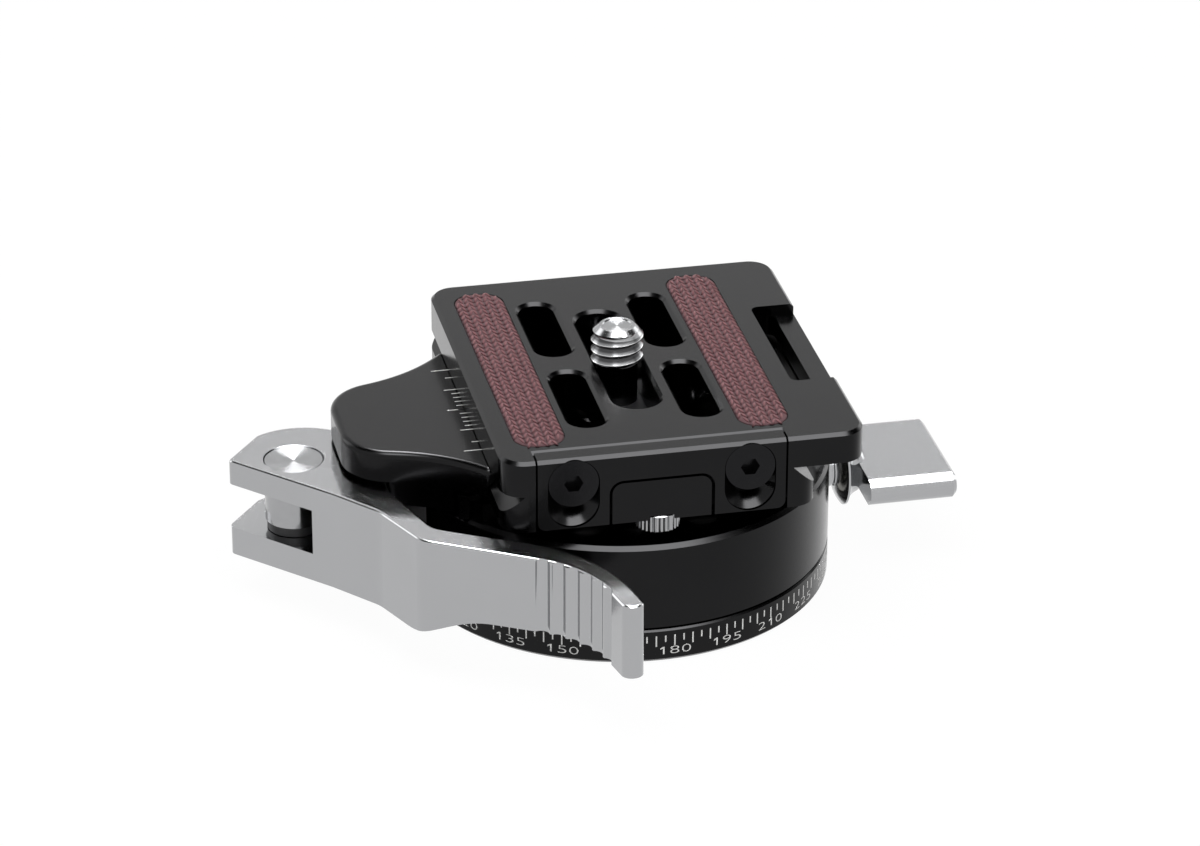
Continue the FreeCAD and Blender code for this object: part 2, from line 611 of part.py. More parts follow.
def make_clamp_bed():
    """The bed under the plate, with the fixed jaw on its right side."""
    root, tip = lip_line(1)
    top = RIGHT_LIP_Z - BODY_GAP
    points = [(BED_LEFT_X, DRUM_TOP), (FIXED_JAW_X, DRUM_TOP), (FIXED_JAW_X, top), (tip[0], top), tip, root,
              (root[0], BED_TOP), (BED_LEFT_X, BED_TOP)]
    body = section_along_y(points, -CLAMP_HALF_LENGTH, CLAMP_HALF_LENGTH)
    left = box(BED_LEFT_X, 0, -BED_LEFT_HALF, BED_LEFT_HALF, DRUM_TOP, BED_TOP)
    rail = box(BED_LEFT_X, -DOVETAIL_HALF - BED_RAIL_GAP, -BED_LEFT_HALF, BED_LEFT_HALF,
               DRUM_TOP, JAW_PLATE_LOW - BODY_GAP)
    body = body.common(disc(BED_RADIUS, DRUM_TOP - OVERSHOOT, PLATE_TOP))
    body = body.fuse([left, rail]).removeSplitter()
    body = body.makeChamfer(EDGE, edges_at(body, top, lambda edge: edge.BoundBox.XMax > root[0]))
    cuts = [countersunk_hole(M3_RADIUS, M3_HEAD_RADIUS, BED_SCREW_LENGTH, place, Vector(0, 0, 1))
            for place in bed_screw_places()]
    for side in (-1, 1):
        cuts.append(rod_x(GUIDE_RADIUS, BED_LEFT_X - OVERSHOOT, GUIDE_INNER_X, side * GUIDE_Y, BED_MIDDLE))
    return body.cut(cuts)


def make_bed_screws():
    up = Vector(0, 0, 1)
    return group([countersunk_screw(M3_RADIUS, M3_HEAD_RADIUS, BED_SCREW_LENGTH, M3_HEX, place, up)
                  for place in bed_screw_places()])


def jaw_corners(right):
    """The jaw's outline from above, symmetric about X."""
    shoulder_x = -DOVETAIL_HALF - BODY_GAP
    way = PIVOT_X + JAW_NOSE_OVER_PIN - shoulder_x
    waist_half = CLAMP_HALF_LENGTH - JAW_WAIST_STEP
    upper = [(right, CLAMP_HALF_LENGTH, 0), (shoulder_x, CLAMP_HALF_LENGTH, JAW_SHOULDER_RADIUS),
             (shoulder_x + way * JAW_WAIST_PLACE, waist_half, -way * JAW_WAIST_ROUND),
             (shoulder_x + way, waist_half - JAW_NOSE_STEP, -way * JAW_NOSE_ROUND)]
    return upper + [(x, -y, radius) for x, y, radius in reversed(upper)]


def make_jaw():
    """The moving jaw: a waisted plate over the lever, a lip, and a body that the cam pushes."""
    root, tip = lip_line(-1)
    plate = prism(jaw_corners(tip[0]), JAW_PLATE_LOW, JAW_TOP)
    side_edges = edges_at(plate, JAW_TOP, lambda edge: edge.BoundBox.XMin < tip[0] - NEAR)
    plate = plate.makeFillet(JAW_EDGE_RADIUS, side_edges)
    under_lip = section_along_y([(root[0], JAW_PLATE_LOW - OVERSHOOT), root, tip, (0, tip[1]),
                                 (0, JAW_PLATE_LOW - OVERSHOOT)], -HEAD_RADIUS, HEAD_RADIUS)
    plate = plate.cut(under_lip)
    body = prism(jaw_corners(tip[0]), DRUM_TOP + BODY_GAP, JAW_PLATE_LOW)
    body = body.common(box(CAM_FACE_X, JAW_BODY_RIGHT, -CLAMP_HALF_LENGTH, CLAMP_HALF_LENGTH,
                           DRUM_TOP, JAW_PLATE_LOW))
    pad = rounded_box(CAM_FACE_X, JAW_BODY_RIGHT, -JAW_PAD_HALF, JAW_PAD_HALF,
                      JAW_PAD_LOW, JAW_PLATE_LOW, JAW_PAD_CORNER)
    pad = pad.cut(disc(HEAD_RADIUS + BODY_GAP, 0, DRUM_TOP + BODY_GAP))
    jaw = plate.fuse([body, pad]).removeSplitter()
    cuts = [rod_x(BAR_RADIUS + BAR_HOLE_GAP, CAM_FACE_X - OVERSHOOT, 0, 0, BAR_Z),
            rod_x(SPRING_POCKET_RADIUS, JAW_POCKET_X, 0, 0, BAR_Z)]
    for side in (-1, 1):
        cuts.append(rod_x(GUIDE_RADIUS + RUN_FIT, GUIDE_OUTER_X - BODY_GAP, 0, side * GUIDE_Y, BED_MIDDLE))
    return jaw.cut(cuts)


def make_guide_pins():
    """Two steel pins that the jaw slides on."""
    return group([rod_x(GUIDE_RADIUS, GUIDE_OUTER_X, GUIDE_INNER_X, side * GUIDE_Y, BED_MIDDLE)
                  for side in (-1, 1)])


def make_jaw_spring():
    """Stack of disc springs round the draw-bar that opens the jaw."""
    length = BODY_GAP + SPRING_JAW_POCKET + SPRING_DRUM_POCKET - 2 * RUN_FIT
    radii = (BAR_RADIUS + RUN_FIT, SPRING_RADIUS - SPRING_SHEET)
    inside = [(length * index / SPRING_DISCS, radii[index % 2]) for index in range(SPRING_DISCS + 1)]
    outside = [(along, radius + SPRING_SHEET) for along, radius in reversed(inside)]
    return turned(inside + outside, Vector(JAW_POCKET_X + RUN_FIT, 0, BAR_Z), Vector(1, 0, 0))


# ================================================================ lever
def cam_edge():
    """The cam: the radius falls evenly with the angle, as the jaw's travel does."""
    fall = JAW_TRAVEL / CAM_SWING
    points = []
    for step in range(CAM_STEPS + 1):
        angle = CAM_END_ANGLE * step / CAM_STEPS
        radius = CAM_RADIUS - fall * angle
        points.append(Vector(PIVOT_X + radius * math.cos(math.radians(angle)),
                             radius * math.sin(math.radians(angle)), 0))
    curve = Part.BSplineCurve()
    curve.interpolate(points)
    return curve.toShape(), points[0], points[-1]


def from_pin(corner):
    """A lever corner in the head's own frame."""
    x, y, radius = corner
    return PIVOT_X + x, y, radius


def lever_outline():
    """The lever from above: cam, fork end, cranked arm and curved grip."""
    cam, cam_start, cam_end = cam_edge()
    arm = [HEEL, HIP, SHIN, ELBOW, GRIP_BEND, TIP_OUTER, TIP_INNER, GRIP_INNER, ELBOW_INNER]
    corners = [(cam_end.x, cam_end.y, 0)] + [from_pin(corner) for corner in arm]
    corners += [(cam_start.x, CAM_HEEL_Y, CAM_HEEL_RADIUS), (cam_start.x, cam_start.y, 0)]
    return Part.Wire([cam] + path_edges(corners, False))


def grip_arc():
    """Centre of the arc on the grip's outer side, and the angle where the arc starts."""
    corner, before, after = [Vector(*from_pin(place)[:2], 0) for place in (GRIP_BEND, ELBOW, TIP_OUTER)]
    radius = GRIP_BEND[2]
    back = (before - corner).normalize()
    ahead = (after - corner).normalize()
    half = back.getAngle(ahead) / 2
    centre = corner + (back + ahead).normalize() * (radius / math.sin(half))
    start = corner + back * (radius / math.tan(half)) - centre
    return centre, math.degrees(math.atan2(start.y, start.x))


def flute_tools():
    """Upright cutters that leave rounded ribs on the grip."""
    centre, start_angle = grip_arc()
    reach = GRIP_BEND[2] - FLUTE_RADIUS + FLUTE_DEPTH
    tools = []
    for index in range(FLUTE_COUNT):
        angle = math.radians(start_angle - FLUTE_FIRST - FLUTE_PITCH * index)
        tools.append(disc(FLUTE_RADIUS, 0, LEVER_TOP + OVERSHOOT,
                          centre.x + reach * math.cos(angle), centre.y + reach * math.sin(angle)))
    return tools


def arm_relief():
    """The tool that raises the arm's underside with a smooth ramp."""
    middle = (RAMP_START + RAMP_END) / 2
    points = [Vector(RAMP_START, 0, LEVER_LOW), Vector(middle, 0, (LEVER_LOW + ARM_LOW) / 2),
              Vector(RAMP_END, 0, ARM_LOW)]
    curve = Part.BSplineCurve()
    curve.interpolate(points, InitialTangent=Vector(1, 0, 0), FinalTangent=Vector(1, 0, 0))
    end_high = Vector(ARM_REACH, 0, ARM_LOW + ARM_END_RISE)
    end_low = Vector(ARM_REACH, 0, LEVER_LOW - OVERSHOOT)
    start_low = Vector(RAMP_START, 0, LEVER_LOW - OVERSHOOT)
    edges = [curve.toShape()]
    corners = [points[2], end_high, end_low, start_low, points[0]]
    for first, second in zip(corners, corners[1:]):
        edges.append(Part.LineSegment(first, second).toShape())
    tool = Part.Face(Part.Wire(edges)).extrude(Vector(0, 2 * ARM_REACH, 0))
    tool.translate(Vector(0, -ARM_REACH, 0))
    tool.rotate(Vector(0, 0, 0), Vector(0, 0, 1), RAMP_HEADING)
    tool.translate(Vector(PIVOT_X, 0, 0))
    return tool


def make_lever():
    """Clamp lever: a forked cam end and a cranked, fluted arm."""
    face = Part.Face(lever_outline())
    face.translate(Vector(0, 0, LEVER_LOW))
    body = face.extrude(Vector(0, 0, LEVER_HEIGHT))
    body = body.makeFillet(LEVER_EDGE, edges_at(body, LEVER_TOP))
    fork = disc(FORK_REACH, FORK_LOW, FORK_HIGH, PIVOT_X)
    fork = fork.fuse(box(PIVOT_X - HEAD_RADIUS, 0, FORK_SIDE_Y, HEAD_RADIUS, FORK_LOW, FORK_HIGH))
    pin_head = disc(PIN_HEAD_RADIUS, LEVER_TOP - PIN_HEAD_DEPTH, LEVER_TOP + OVERSHOOT, PIVOT_X)
    pin_hole = disc(PIN_RADIUS, LEVER_LOW - OVERSHOOT, LEVER_TOP, PIVOT_X)
    return body.cut([fork, pin_head, pin_hole, arm_relief()] + flute_tools())


def make_lever_pin():
    """Steel pivot pin with a turned head flush in the lever's top."""
    low = LEVER_LOW + FINE_EDGE
    shoulder = LEVER_TOP - PIN_HEAD_DEPTH
    rim = LEVER_TOP - FINE_EDGE / 2
    return turned([(low, 0), (low, PIN_RADIUS), (shoulder, PIN_RADIUS), (shoulder, PIN_HEAD_RADIUS),
                   (rim - FINE_EDGE, PIN_HEAD_RADIUS), (rim, PIN_HEAD_RADIUS - FINE_EDGE),
                   (rim - PIN_DISH, 0)],
                  Vector(PIVOT_X, 0, 0))


def make_draw_bar():
    """Threaded bar with an eye, which ties the lever's pin to the drum."""
    eye = disc(EYE_RADIUS, BAR_Z - EYE_HEIGHT / 2, BAR_Z + EYE_HEIGHT / 2, PIVOT_X)
    bar = rod_x(BAR_RADIUS, PIVOT_X, DOWEL_X + BAR_END_IN_DOWEL, 0, BAR_Z)
    hole = disc(PIN_RADIUS + RUN_FIT, LEVER_LOW, LEVER_TOP, PIVOT_X)
    return eye.fuse(bar).cut(hole)


def make_pivot_washers():
    """Black plastic washers that centre the eye in the fork."""
    low_top = BAR_Z - EYE_HEIGHT / 2
    high_low = BAR_Z + EYE_HEIGHT / 2
    radius = EYE_RADIUS - FINE_EDGE
    inner = PIN_RADIUS + RUN_FIT
    return group([ring(radius, inner, FORK_LOW + 2 * RUN_FIT, low_top, PIVOT_X),
                  ring(radius, inner, high_low, FORK_HIGH - 2 * RUN_FIT, PIVOT_X)])


def make_anchor_dowel():
    """Cross dowel in the drum that the draw-bar is screwed into."""
    body = disc(DOWEL_RADIUS, DOWEL_LOW, DRUM_TOP - FINE_EDGE, DOWEL_X)
    bar_hole = rod_x(BAR_RADIUS, DOWEL_X - DOWEL_RADIUS - OVERSHOOT, DOWEL_X + BAR_END_IN_DOWEL, 0, BAR_Z)
    return body.cut(bar_hole)


# ================================================================ camera plate
def flange_screw_place(side):
    return Vector(side * FLANGE_SCREW_X, PLATE_FRONT + SCREW_SINK, PLATE_TOP - FLANGE_SCREW_DOWN)


def stop_y(side):
    return PLATE_FRONT + STOP_FROM_END if side < 0 else PLATE_BACK - STOP_FROM_END


def window(half, top, radius, y_low, y_high):
    """A block with an arched top, narrower than the flange and open downwards."""
    corners = [(-half, PLATE_BOTTOM - OVERSHOOT, 0), (half, PLATE_BOTTOM - OVERSHOOT, 0),
               (half, top, radius), (-half, top, radius)]
    shape = prism(corners, 0, y_high - y_low)
    shape.rotate(Vector(0, 0, 0), Vector(1, 0, 0), 90)
    shape.translate(Vector(0, y_high, 0))
    return shape


def make_camera_plate():
    """Quick release plate: a 38 mm dovetail with slots, pad recesses and a strap bar."""
    rise = LEFT_LIP_Z - FLANGE_TOP
    right_rise = RIGHT_LIP_Z - FLANGE_TOP
    section = [(-DOVETAIL_HALF, PLATE_BOTTOM), (DOVETAIL_HALF, PLATE_BOTTOM), (DOVETAIL_HALF, FLANGE_TOP),
               (DOVETAIL_HALF - right_rise, RIGHT_LIP_Z), (-DOVETAIL_HALF + rise, RIGHT_LIP_Z),
               (-DOVETAIL_HALF + rise, LEFT_LIP_Z), (-DOVETAIL_HALF, FLANGE_TOP)]
    lower = section_along_y(section, PLATE_FRONT, PLATE_BACK)
    lower = lower.common(rounded_box(-DOVETAIL_HALF, DOVETAIL_HALF, PLATE_FRONT, PLATE_BACK,
                                     PLATE_BOTTOM, RIGHT_LIP_Z, PLATE_CORNER))
    upper = rounded_box(-DOVETAIL_HALF, PLATE_RIGHT, PLATE_FRONT, PLATE_BACK,
                        LEFT_LIP_Z, PLATE_TOP, PLATE_CORNER)
    upper = upper.makeChamfer(EDGE, edges_at(upper, PLATE_TOP))
    upper = upper.cut(box(0, PLATE_RIGHT + OVERSHOOT, PLATE_FRONT - OVERSHOOT, PLATE_BACK + OVERSHOOT,
                          LEFT_LIP_Z - OVERSHOOT, RIGHT_LIP_Z))
    body = lower.fuse(upper).removeSplitter()
    low = PLATE_BOTTOM - OVERSHOOT
    high = PLATE_TOP + OVERSHOOT
    openings = [slot(side_x * SLOT_X, PATTERN_Y + side_y * SLOT_Y, SLOT_WIDTH, SLOT_LENGTH, low, high)
                for side_x in (-1, 1) for side_y in (-1, 1)]
    openings.append(slot(0, PATTERN_Y, CENTRE_SLOT_WIDTH, CENTRE_SLOT_LENGTH, low, high))
    body = body.cut(openings)
    mouth_edges = [edge for edge in edges_at(body, PLATE_TOP)
                   if abs(edge.BoundBox.Center.x) < SLOT_X + SLOT_WIDTH
                   and edge.BoundBox.XLength < CENTRE_SLOT_WIDTH + NEAR
                   and edge.BoundBox.YLength < CENTRE_SLOT_LENGTH]
    body = body.makeChamfer(EDGE, mouth_edges)
    channel_half_length = CAMERA_TRAVEL + CHANNEL_HALF
    cuts = [rounded_box(-CHANNEL_HALF, CHANNEL_HALF, PATTERN_Y - channel_half_length,
                        PATTERN_Y + channel_half_length, low, CHANNEL_TOP, CHANNEL_CORNER)]
    for side in (-1, 1):
        cuts.append(pad_shape(side, PAD_GAP, PLATE_TOP - PAD_RECESS, high))
    strap_x = DOVETAIL_HALF + STRAP_FROM_DOVETAIL
    cuts.append(rounded_box(strap_x, PLATE_RIGHT - STRAP_BAR, STRAP_FRONT, STRAP_BACK,
                            low, high, STRAP_RADIUS))
    cuts.append(box(strap_x + STRAP_RADIUS, PLATE_RIGHT + OVERSHOOT, STRAP_FRONT, STRAP_BACK,
                    PLATE_TOP - STRAP_RECESS, high))
    pocket_half = FLANGE_HALF + POCKET_GAP
    pocket = box(-pocket_half, pocket_half, PLATE_FRONT - OVERSHOOT, POCKET_BACK, low, high)
    panel = window(WINDOW_HALF - PANEL_GAP, WINDOW_TOP - PANEL_GAP, WINDOW_RADIUS - PANEL_GAP,
                   PLATE_FRONT + PANEL_SETBACK, POCKET_BACK + OVERSHOOT)
    cuts.append(pocket.cut(panel))
    cuts.append(section_bevel(pocket_half))
    for side in (-1, 1):
        cuts.append(Part.makeCylinder(M3_RADIUS, FLANGE_SCREW_LENGTH, flange_screw_place(side),
                                      Vector(0, 1, 0)))
        cuts.append(disc(STOP_HEAD_RADIUS + POCKET_GAP, low, STOP_HEAD_TOP, 0, stop_y(side)))
        cuts.append(disc(M3_RADIUS, low, STOP_HEAD_TOP + STOP_LENGTH, 0, stop_y(side)))
    return body.cut(cuts)


def section_bevel(half):
    """The bevel along the top of the pocket's back wall."""
    wire = Part.makePolygon([Vector(-half, POCKET_BACK - FINE_EDGE, PLATE_TOP - EDGE - FINE_EDGE),
                             Vector(-half, POCKET_BACK + EDGE + FINE_EDGE, PLATE_TOP + FINE_EDGE),
                             Vector(-half, POCKET_BACK - FINE_EDGE, PLATE_TOP + FINE_EDGE),
                             Vector(-half, POCKET_BACK - FINE_EDGE, PLATE_TOP - EDGE - FINE_EDGE)])
    return Part.Face(wire).extrude(Vector(2 * half, 0, 0))


def pad_shape(side, gap, low, high):
    half = PAD_WIDTH / 2 + gap
    length = PAD_LENGTH / 2 + gap
    return rounded_box(side * PAD_X - half, side * PAD_X + half, PATTERN_Y - length, PATTERN_Y + length,
                       low, high, PAD_END_RADIUS)


def make_grip_pads():
    """Rubber strips set in the plate's top."""
    return group([pad_shape(side, 0, PLATE_TOP - PAD_RECESS, PLATE_TOP + PAD_PROUD) for side in (-1, 1)])


def make_stop_screws():
    """Safety stops under the plate, front and back: small cap screws."""
    screws = []
    for side in (-1, 1):
        body = disc(STOP_HEAD_RADIUS, STOP_HEAD_LOW, STOP_HEAD_TOP, 0, stop_y(side))
        body = body.makeChamfer(FINE_EDGE, edges_at(body, STOP_HEAD_LOW))
        body = body.fuse(disc(M3_RADIUS, STOP_HEAD_TOP, STOP_HEAD_TOP + STOP_LENGTH, 0, stop_y(side)))
        socket = hexagon(STOP_HEX, HEX_DEPTH + OVERSHOOT, Vector(0, stop_y(side), STOP_HEAD_LOW - OVERSHOOT),
                         Vector(0, 0, 1))
        screws.append(body.cut(socket))
    return group(screws)


def make_flange_screws():
    return group([countersunk_screw(M3_RADIUS, M3_HEAD_RADIUS, FLANGE_SCREW_LENGTH, M3_HEX,
                                    flange_screw_place(side), Vector(0, -1, 0)) for side in (-1, 1)])


def screw_track(side):
    """The sunk slot that lets the flange rise past its fixed screw."""
    top = flange_screw_place(side)
    bottom = top - Vector(0, 0, FLANGE_TRAVEL)
    profile = countersunk_profile(M3_RADIUS, M3_HEAD_RADIUS, FLANGE_THICK + OVERSHOOT, TRACK_GAP)
    tools = []
    for place in (top, bottom):
        tools.append(turned(profile, place, Vector(0, -1, 0)))
        tools.append(Part.makeCylinder(M3_HEAD_RADIUS + TRACK_GAP, OVERSHOOT, place, Vector(0, -1, 0)))
    half_section = [(radius, top.y - along) for along, radius in profile]
    half_section[0] = (0, top.y - OVERSHOOT)
    half_section[1] = (half_section[1][0], top.y - OVERSHOOT)
    other_half = [(-x, y) for x, y in reversed(half_section)]
    points = [Vector(top.x + x, y, bottom.z) for x, y in half_section[1:-1] + other_half[1:-1]]
    tools.append(Part.Face(Part.makePolygon(points + points[:1])).extrude(Vector(0, 0, FLANGE_TRAVEL)))
    return tools[0].fuse(tools[1:])


def make_anti_twist_flange():
    """The block in the plate's front that slides up to stop a camera from turning."""
    low = PLATE_BOTTOM + FLANGE_UP
    corners = [(-FLANGE_HALF, low, FLANGE_CORNER), (FLANGE_HALF, low, FLANGE_CORNER),
               (FLANGE_HALF, PLATE_TOP, 0), (-FLANGE_HALF, PLATE_TOP, 0)]
    body = prism(corners, 0, FLANGE_THICK)
    body.rotate(Vector(0, 0, 0), Vector(1, 0, 0), 90)
    body.translate(Vector(0, FLANGE_BACK, 0))
    front_top = [edge for edge in edges_at(body, PLATE_TOP) if edge.BoundBox.YMax < PLATE_FRONT + NEAR]
    body = body.makeChamfer(EDGE, front_top)
    opening = window(WINDOW_HALF, WINDOW_TOP, WINDOW_RADIUS, PLATE_FRONT - OVERSHOOT, FLANGE_BACK + OVERSHOOT)
    body = body.cut([opening] + [screw_track(side) for side in (-1, 1)])
    return body


# ================================================================ camera screw
def make_camera_screw():
    """The screw that holds the camera: threaded top, thin neck, and a head with a hex socket."""
    body = turned([(CAMERA_HEAD_LOW, 0), (CAMERA_HEAD_LOW, CAMERA_HEAD_RADIUS - EDGE),
                   (CAMERA_HEAD_LOW + EDGE, CAMERA_HEAD_RADIUS), (CAMERA_HEAD_TOP, CAMERA_HEAD_RADIUS),
                   (CAMERA_HEAD_TOP, CAMERA_NECK_RADIUS), (CAMERA_THREAD_LOW, CAMERA_NECK_RADIUS),
                   (CAMERA_THREAD_LOW + EDGE, CAMERA_THREAD_RADIUS),
                   (CAMERA_SCREW_TOP - CAMERA_TIP, CAMERA_THREAD_RADIUS),
                   (CAMERA_SCREW_TOP, CAMERA_THREAD_RADIUS - CAMERA_TIP), (CAMERA_SCREW_TOP, 0)],
                  Vector(0, PATTERN_Y, 0))
    return body.cut(hexagon(CAMERA_HEX, CAMERA_HEX_DEPTH + OVERSHOOT,
                            Vector(0, PATTERN_Y, CAMERA_HEAD_LOW - OVERSHOOT), Vector(0, 0, 1)))


def make_screw_clip():
    """Plastic ring that keeps the camera screw from falling out of the plate."""
    return ring(CLIP_RADIUS, CAMERA_NECK_RADIUS + RUN_FIT, CLIP_LOW, CLIP_LOW + CLIP_THICK, 0, PATTERN_Y)


# ================================================================ every node
NODES = {
    "base_ring": make_base_ring,
    "tripod_insert": make_tripod_insert,
    "spindle": make_spindle,
    "spindle_screws": make_spindle_screws,
    "thrust_washer": make_thrust_washer,
    "retainer_plate": make_retainer,
    "retainer_screws": make_retainer_screws,
    "glide_washer": make_glide_washer,
    "drum": make_drum,
    "knob_bush": make_knob_bush,
    "brake_shoe": make_brake_shoe,
    "pan_knob": make_pan_knob,
    "clamp_bed": make_clamp_bed,
    "bed_screws": make_bed_screws,
    "moving_jaw": make_jaw,
    "guide_pins": make_guide_pins,
    "jaw_spring": make_jaw_spring,
    "clamp_lever": make_lever,
    "lever_pin": make_lever_pin,
    "draw_bar": make_draw_bar,
    "pivot_washers": make_pivot_washers,
    "anchor_dowel": make_anchor_dowel,
    "camera_plate": make_camera_plate,
    "grip_pads": make_grip_pads,
    "stop_screws": make_stop_screws,
    "flange_screws": make_flange_screws,
    "anti_twist_flange": make_anti_twist_flange,
    "camera_screw": make_camera_screw,
    "screw_clip": make_screw_clip,
}


def main():
    os.makedirs("parts", exist_ok=True)
    for name, make in NODES.items():
        shape = make()
        shape.exportStep(f"parts/{name}.step")
        print(name, len(shape.Solids), "solids", round(shape.Volume, 2), "mm3", "valid", shape.isValid())


main()
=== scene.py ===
"""Panoramic tripod head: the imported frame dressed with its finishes, printed marks and small parts.

Metres, in the frame's own axes: Z is the pan axis, the front is -Y, the clamp lever is on the
-X side and the lock knob on the +X side.
"""
import math

import bmesh
import bpy
from bpy.props import FloatProperty, FloatVectorProperty, IntProperty, PointerProperty
from mathutils import Matrix, Vector


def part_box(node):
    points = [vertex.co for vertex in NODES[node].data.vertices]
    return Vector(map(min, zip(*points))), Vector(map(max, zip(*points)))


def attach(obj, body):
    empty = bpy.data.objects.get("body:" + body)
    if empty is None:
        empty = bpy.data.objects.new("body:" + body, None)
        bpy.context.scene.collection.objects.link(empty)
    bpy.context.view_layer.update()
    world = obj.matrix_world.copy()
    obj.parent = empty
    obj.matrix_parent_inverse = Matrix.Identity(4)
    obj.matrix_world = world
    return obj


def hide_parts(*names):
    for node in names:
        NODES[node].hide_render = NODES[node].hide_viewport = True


bl_info = {
    "name": "Panoramic Tripod Head",
    "version": (1, 0, 0),
    "blender": (4, 5, 0),
    "location": "View3D > Sidebar > Tripod Head",
    "description": "Finishes, dial, scale, grip pads and screws of a panoramic tripod head",
    "category": "Object",
}

MM = 0.001
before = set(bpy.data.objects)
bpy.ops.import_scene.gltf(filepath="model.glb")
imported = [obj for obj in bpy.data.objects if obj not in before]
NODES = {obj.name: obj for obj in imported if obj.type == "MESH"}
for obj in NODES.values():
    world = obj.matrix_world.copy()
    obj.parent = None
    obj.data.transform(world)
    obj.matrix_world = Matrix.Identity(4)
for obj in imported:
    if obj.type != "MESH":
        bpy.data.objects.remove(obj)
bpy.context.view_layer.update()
# Points round a turned shape and round a turn of the thread.
TURN_STEPS = 60
# From one point to the next round a pad's corner.
CORNER_DEGREES = 9
# Where a noise becomes the low and the high end of its patches.
PATCH_LEVELS = (0.32, 0.68)
# Gloss of a faced end, and how far its tool marks stretch a reflection across them.
FACED_ROUGHNESS = 0.22
FACED_STRETCH = 0.9
# How soon a turned face loses its tool marks as it leans away from level.
FACED_POWER = 8.0
BLACK_STEEL_ROUGHNESS = 0.24
# Grip pads: inner edge, how far under their top the painted shade is full and gone, bare margin at
# the round ends and the gap between braids with painted shade as shares of a braid, and how deep a
# stitch sits as a share of its thickness.
PAD_INNER_X = 10.45 * MM
PAD_SHADE = (0.25 * MM, 0.03 * MM)
END_MARGIN = 0.35
VALLEY_SHARE = 0.24
STITCH_SUNK = 0.62
# Camera screw: eased edges of its head, its dished tip, over what height the thread's colours fade
# there, how steeply the thread runs out on the neck, and where the painted shade on the flanks and
# the painted highlight on the crest start and end below the crest, as shares of the thread's depth.
HEAD_EASE = 0.25 * MM
TIP_DISH = 0.12 * MM
TIP_FADE = 0.05 * MM
RUN_OUT = 3
ROOT_SHADE = (0.6, 0.05)
CREST_HIGHLIGHT = (0.08, 0.02)
# Stop screws: eased edges, socket, and a knurl's corner and standing height as shares of its width.
STOP_EASE = 0.3 * MM
STOP_SOCKET_DEPTH = 1.3 * MM
KNURL_REACH = 0.7
KNURL_HEIGHT = 0.45
# The floor: its grey, and the share and the level of its own glow towards the lens.
FLOOR_GREY = (0.8, 0.8, 0.8, 1.0)
FLOOR_SHARE = 0.93
FLOOR_GLOW = 1.03
# Where the overhead lamp hangs, what it faces, and its width and depth.
LAMP_PLACE = Vector((-0.1, -0.22, 0.72))
LAMP_TARGET = Vector((0.0, 0.0, 0.015))
LAMP_SIZE = (0.6, 0.45)
# A studio panel's soft edge, as a share of its half size.
PANEL_EDGE = 0.35
# Where each studio panel stands, its half width and half height at unit distance, and its level.
STUDIO_PANELS = (
    ((0.04, -0.45, 0.89), 0.48, 0.22, 12.0),
    ((0.12, 0.42, 0.9), 0.22, 0.24, 34.0),
    ((0.15, 0.0, 0.99), 0.3, 0.22, 2.2),
    ((0.74, -0.02, 0.67), 0.27, 0.3, 0.04),
    ((-0.55, 0.17, 0.81), 0.3, 0.3, 0.04),
    ((-0.72, 0.6, 0.35), 0.2, 0.3, 3.0),
    ((0.86, 0.5, 0.12), 0.2, 0.3, 3.0),
)


def mm(text, value, description):
    """A size, given in millimetres and kept in metres."""
    return FloatProperty(name=text, description=description, default=value * MM, min=0.0,
                         subtype="DISTANCE", unit="LENGTH", precision=5)


def tint(text, value, description):
    return FloatVectorProperty(name=text, description=description, default=value, size=3,
                               min=0.0, max=1.0, subtype="COLOR")


def ratio(text, value, description):
    return FloatProperty(name=text, description=description, default=value, min=0.0, max=1.0,
                         subtype="FACTOR")


def angle(text, degrees, description):
    return FloatProperty(name=text, description=description, default=math.radians(degrees),
                         subtype="ANGLE", unit="ROTATION")


def whole(text, value, description, least=1):
    return IntProperty(name=text, description=description, default=value, min=least)


# ------ settings
class TRIPOD_PG_finishes(bpy.types.PropertyGroup):
    anodised: tint("Anodised black", (0.017, 0.017, 0.0175), "Housings, jaw and plate")
    anodised_roughness: ratio("Anodised roughness", 0.19, "Gloss of the black housings")
    silver: tint("Silver", (0.4, 0.404, 0.412), "Clamp lever and lock knob")
    silver_roughness: ratio("Silver roughness", 0.15, "Gloss of the lever and knob")
    steel: tint("Steel", (0.36, 0.363, 0.37), "Turned stainless parts")
    # The thread's crests take a pale colour as a painted highlight, and its roots a dark colour as painted
    # shade.
    crests: tint("Thread crests", (0.92, 0.92, 0.93), "Steel burnished by use")
    roots: tint("Thread roots", (0.06, 0.06, 0.062), "Dull steel between the crests")
    steel_roughness: ratio("Steel roughness", 0.18, "Gloss of turned steel")
    black_steel: tint("Blackened steel", (0.018, 0.018, 0.019), "Flange screws")
    brass: tint("Nickelled brass", (0.4, 0.39, 0.36), "Lock bush")
    plastic: tint("Black plastic", (0.012, 0.012, 0.013), "Washers and clip")
    grain: mm("Blast grain", 0.16, "Size of the bead-blasted grain")
    turning: mm("Turning marks", 0.07, "Pitch of the marks on turned faces")


